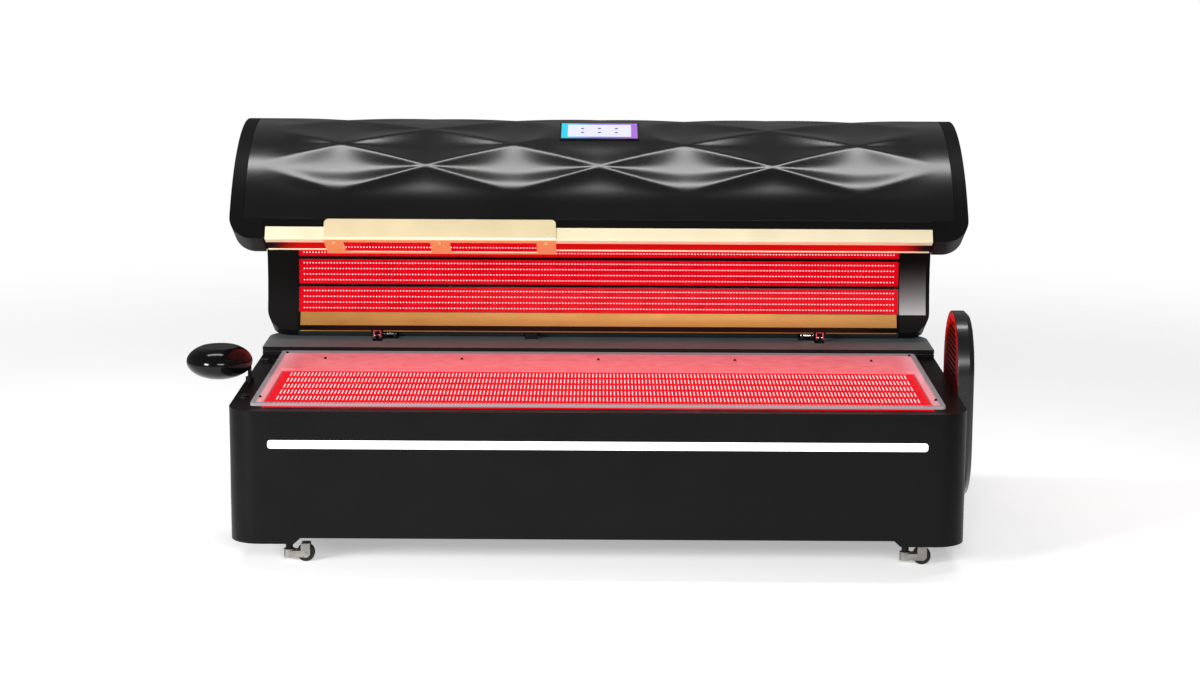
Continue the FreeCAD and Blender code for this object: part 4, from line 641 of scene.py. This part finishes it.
def canopySkin():
    bm = bmesh.new()
    columns = 2 * round(canopy["half"] / skin["column"] * skin["parts"])
    rows = 2 * round((90 - skin["low"]) / skin["row"] * skin["parts"])
    stepX = skin["column"] / skin["parts"]
    stepTurn = skin["row"] / skin["parts"]
    bmesh.ops.create_grid(bm, x_segments=columns, y_segments=rows, size=0.5)
    for vert in bm.verts:      # flat sheet: X along the bed, Y in degrees from the front
        vert.co.x = max(-canopy["half"], min(canopy["half"], round(vert.co.x * columns) * stepX))
        vert.co.y = max(skin["low"], min(180 - skin["low"], 90 + round(vert.co.y * rows) * stepTurn))
    wide, high = skinOpening
    cuts = [((wide, 0, 0), (1, 0, 0)), ((-wide, 0, 0), (1, 0, 0)),
            ((0, screen["turn"] + high, 0), (0, 1, 0)), ((0, screen["turn"] - high, 0), (0, 1, 0))]
    for spot, way in cuts:
        bmesh.ops.bisect_plane(bm, geom=bm.verts[:] + bm.edges[:] + bm.faces[:], plane_co=spot,
                               plane_no=way, dist=skin["cut"])
    hole = [face for face in bm.faces if abs(face.calc_center_median().x) < wide
            and abs(face.calc_center_median().y - screen["turn"]) < high]
    bmesh.ops.delete(bm, geom=hole, context="FACES")
    for vert in bm.verts:
        x, turn = vert.co.x, vert.co.y
        vert.co = onArch(x, turn, canopy["radius"] - dishDepth(x, turn))
    bmesh.ops.recalc_face_normals(bm, faces=bm.faces)
    probe = bm.faces[:][len(bm.faces) // 2]
    if probe.normal.dot(probe.calc_center_median() - canopyPlace.translation) < 0:
        bmesh.ops.reverse_faces(bm, faces=bm.faces)
    smoothFaces(bm, skin["sharp"])
    piece = addPiece("canopySkin", bm, "lacquer", "canopy", "shell", "canopy_shell")
    wall = piece.modifiers.new("wall", "SOLIDIFY")
    wall.thickness = skin["wall"]
    wall.offset = -1


canopySkin()
print("canopy skin made")


def firstPlace(values):
    return -values["pitch"] * (values["count"] - 1) / 2


def alongBed(piece, values):
    run = piece.modifiers.new("run", "ARRAY")
    run.use_relative_offset = False
    run.use_constant_offset = True
    run.constant_offset_displace = (values["pitch"], 0, 0)
    run.count = values["count"]


# canopy lamps: tiny four-sided lenses in rows, repeated along the bed
lamps = {
    "pitch": 0.0100,
    "count": 197,
    "rows": 4,
    "rowPitch": 0.0190,
    "size": 0.0017,
    "foot": 1.414,         # corners of the lens, times its size
    "crown": 1.1,
    "tall": 0.0014,
    "strips": 13,
    "start": 13.5,         # degrees left free at the front and at the back
    "end": 8.8,
    "board": 0.440,        # boards' face from the arch's centre
}


def canopyLamps():
    bm = bmesh.new()
    step = (180 - lamps["start"] - lamps["end"]) / lamps["strips"]
    inwards = Matrix.Rotation(math.pi, 4, "X")
    squared = Matrix.Rotation(math.pi / 4, 4, "Z")
    lifted = Matrix.Translation((0, 0, lamps["tall"] / 2))
    for strip in range(lamps["strips"]):
        board = archFrame(firstPlace(lamps), lamps["start"] + step * (strip + 0.5), lamps["board"])
        for row in range(lamps["rows"]):
            shift = (row - (lamps["rows"] - 1) / 2) * lamps["rowPitch"]
            spot = board @ Matrix.Translation((0, shift, 0)) @ inwards @ lifted @ squared
            bmesh.ops.create_cone(bm, cap_ends=True, segments=4, radius1=lamps["size"] * lamps["foot"],
                                  radius2=lamps["size"] * lamps["crown"], depth=lamps["tall"], matrix=spot)
    alongBed(addPiece("canopyLamps", bm, "lamp", "canopy", "led_board"), lamps)


# deck lamps: long narrow lenses, one across each board
dashes = {
    "pitch": 0.0112,
    "count": 176,
    "size": (0.0026, 0.052, 0.0014),
    "edge": 0.0005,
    "boards": 7,
    "front": -0.526,
    "boardPitch": 0.092,
    "width": 0.084,
    "top": 0.465,
}


def deckLamps():
    bm = bmesh.new()
    wide, deep, tall = dashes["size"]
    level = dashes["top"] + tall / 2
    for board in range(dashes["boards"]):
        middle = dashes["front"] + dashes["boardPitch"] * board + dashes["width"] / 2
        spot = Matrix.Translation((firstPlace(dashes), middle, level))
        bmesh.ops.create_cube(bm, size=1, matrix=spot @ Matrix.Diagonal((wide, deep, tall, 1)))
    upper = [edge for edge in bm.edges if all(vert.co.z > level for vert in edge.verts)]
    bmesh.ops.bevel(bm, geom=upper, offset=dashes["edge"], segments=1, profile=0.5,
                    affect="EDGES", material=-1)
    alongBed(addPiece("deckLamps", bm, "dash", "base", "led_board"), dashes)


canopyLamps()
deckLamps()
print("lamps placed")

# low caps over the clear sheet's screws
caps = {
    "radius": 0.0045,
    "crown": 0.0032,
    "tall": 0.005,
    "sides": 20,
    "sharp": 40,
    "columns": (-2, -1, 0, 1, 2),
    "pitch": 0.440,
    "rearY": 0.160,
    "endX": 1.013,
    "endY": (-0.451, 0.252),
}


def screwCaps():
    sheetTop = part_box("acrylic_sheet")[1][2]
    places = [(column * caps["pitch"], caps["rearY"]) for column in caps["columns"]]
    places += [(side * caps["endX"], y) for side in (-1, 1) for y in caps["endY"]]
    bm = bmesh.new()
    for x, y in places:
        spot = Matrix.Translation((x, y, sheetTop + caps["tall"] / 2))
        bmesh.ops.create_cone(bm, cap_ends=True, segments=caps["sides"], radius1=caps["radius"],
                              radius2=caps["crown"], depth=caps["tall"], matrix=spot)
    smoothFaces(bm, caps["sharp"])
    addPiece("screwCaps", bm, "matt", "base", "black_plastic")


screwCaps()
print("screw caps placed")

# plain round marks on the lit screen, two rows of three
marks = {"size": 0.011, "tall": 0.0003, "sides": 24, "columns": (-0.052, 0.0, 0.052), "rows": (0.018, -0.016)}


def screenMarks():
    bm = bmesh.new()
    for x in marks["columns"]:
        for rise in marks["rows"]:
            spot = screenPlace @ Matrix.Translation((x, rise, marks["tall"] / 2))
            bmesh.ops.create_cone(bm, cap_ends=True, segments=marks["sides"], radius1=marks["size"] / 2,
                                  radius2=marks["size"] / 2 - marks["tall"], depth=marks["tall"], matrix=spot)
    addPiece("screenMarks", bm, "mark", "canopy", "screen")


screenMarks()
print("screen marks placed")

# studio floor: pale matt paper that fades out into the white room
floor = {
    "radius": 9,
    "sides": 96,
    "fade": (1.6, 6.0),
    "glow": 0.4,
    "cloud": 400,          # mm
    "tones": ("#fafafa", "#fcfcfc"),
}


def palePaper():
    material, tree, shader, place = startMaterial("palePaper", {
        "Roughness": 0.95, "Specular IOR Level": 0.05,
        "Emission Color": linear("#ffffff"), "Emission Strength": floor["glow"]})
    cloud = addNode(tree, "ShaderNodeTexNoise", {
        "Vector": place, "Scale": perMetre(floor["cloud"]), "Detail": 2.0}).outputs[0]
    addTones(tree, shader, cloud, floor["tones"])
    reach = addNode(tree, "ShaderNodeVectorMath", {0: place}, operation="LENGTH").outputs["Value"]
    fade = addNode(tree, "ShaderNodeMapRange", {
        "Value": reach, "From Min": floor["fade"][0], "From Max": floor["fade"][1],
        "To Min": 1.0, "To Max": 0.0}, interpolation_type="SMOOTHSTEP").outputs[0]
    tree.links.new(fade, shader.inputs["Alpha"])
    return material


def studioFloor():
    bm = bmesh.new()
    bmesh.ops.create_circle(bm, cap_ends=True, segments=floor["sides"], radius=floor["radius"])
    mesh = bpy.data.meshes.new("studioFloor")
    bm.to_mesh(mesh)
    bm.free()
    mesh.materials.append(palePaper())
    ground = bpy.data.objects.new("studioFloor", mesh)
    bpy.context.scene.collection.objects.link(ground)


studioFloor()

lights = {
    "overheadStrip": {"at": (0.0, 0.28, 3.6), "aim": (0, 0.0, 0.6), "size": (5.0, 0.45), "power": 85},
    "leftKey": {"at": (-4.6, -4.4, 1.9), "aim": (0.9, 0.1, 0.75), "size": (1.4, 1.4), "power": 330},
    "frontFill": {"at": (0.6, -8.0, 3.4), "aim": (0, 0, 0.5), "size": (3.0, 1.6), "power": 320},
    "backFill": {"at": (0.0, 4.5, 4.0), "aim": (0, 0.6, 0.0), "size": (8.0, 4.0), "power": 13},
}
for name, values in lights.items():
    data = bpy.data.lights.new(name, "AREA")
    data.shape = "RECTANGLE"
    data.size, data.size_y = values["size"]
    data.energy = values["power"]
    lamp = bpy.data.objects.new(name, data)
    lamp.location = values["at"]
    aim = Vector(values["aim"]) - Vector(values["at"])
    lamp.rotation_euler = aim.to_track_quat("-Z", "Y").to_euler()
    bpy.context.scene.collection.objects.link(lamp)

# the camera sees a white room, the gloss sees a dim one
room = {"colour": "#ffffff", "seen": 1.0, "mirrored": 0.12}
world = bpy.data.worlds.new("paleStudio")
world.use_nodes = True
worldTree = world.node_tree
seen = addNode(worldTree, "ShaderNodeLightPath").outputs["Is Camera Ray"]
strength = addNode(worldTree, "ShaderNodeMapRange", {
    "Value": seen, "To Min": room["mirrored"], "To Max": room["seen"]}).outputs[0]
worldTree.nodes["Background"].inputs["Color"].default_value = linear(room["colour"])
worldTree.links.new(strength, worldTree.nodes["Background"].inputs["Strength"])
bpy.context.scene.world = world
bpy.context.scene.view_settings.view_transform = "Standard"

view = {"at": (0.005, -8.281, 2.137), "down": 10.5, "roll": 0.3, "lens": 80, "sensor": 36}
cameraData = bpy.data.cameras.new("camera")
cameraData.lens = view["lens"]
cameraData.sensor_width = view["sensor"]
camera = bpy.data.objects.new("camera", cameraData)
camera.matrix_world = (Matrix.Translation(view["at"])
                       @ Matrix.Rotation(math.radians(90 - view["down"]), 4, "X")
                       @ Matrix.Rotation(math.radians(view["roll"]), 4, "Z"))
bpy.context.scene.collection.objects.link(camera)
bpy.context.scene.camera = camera
print("studio set")
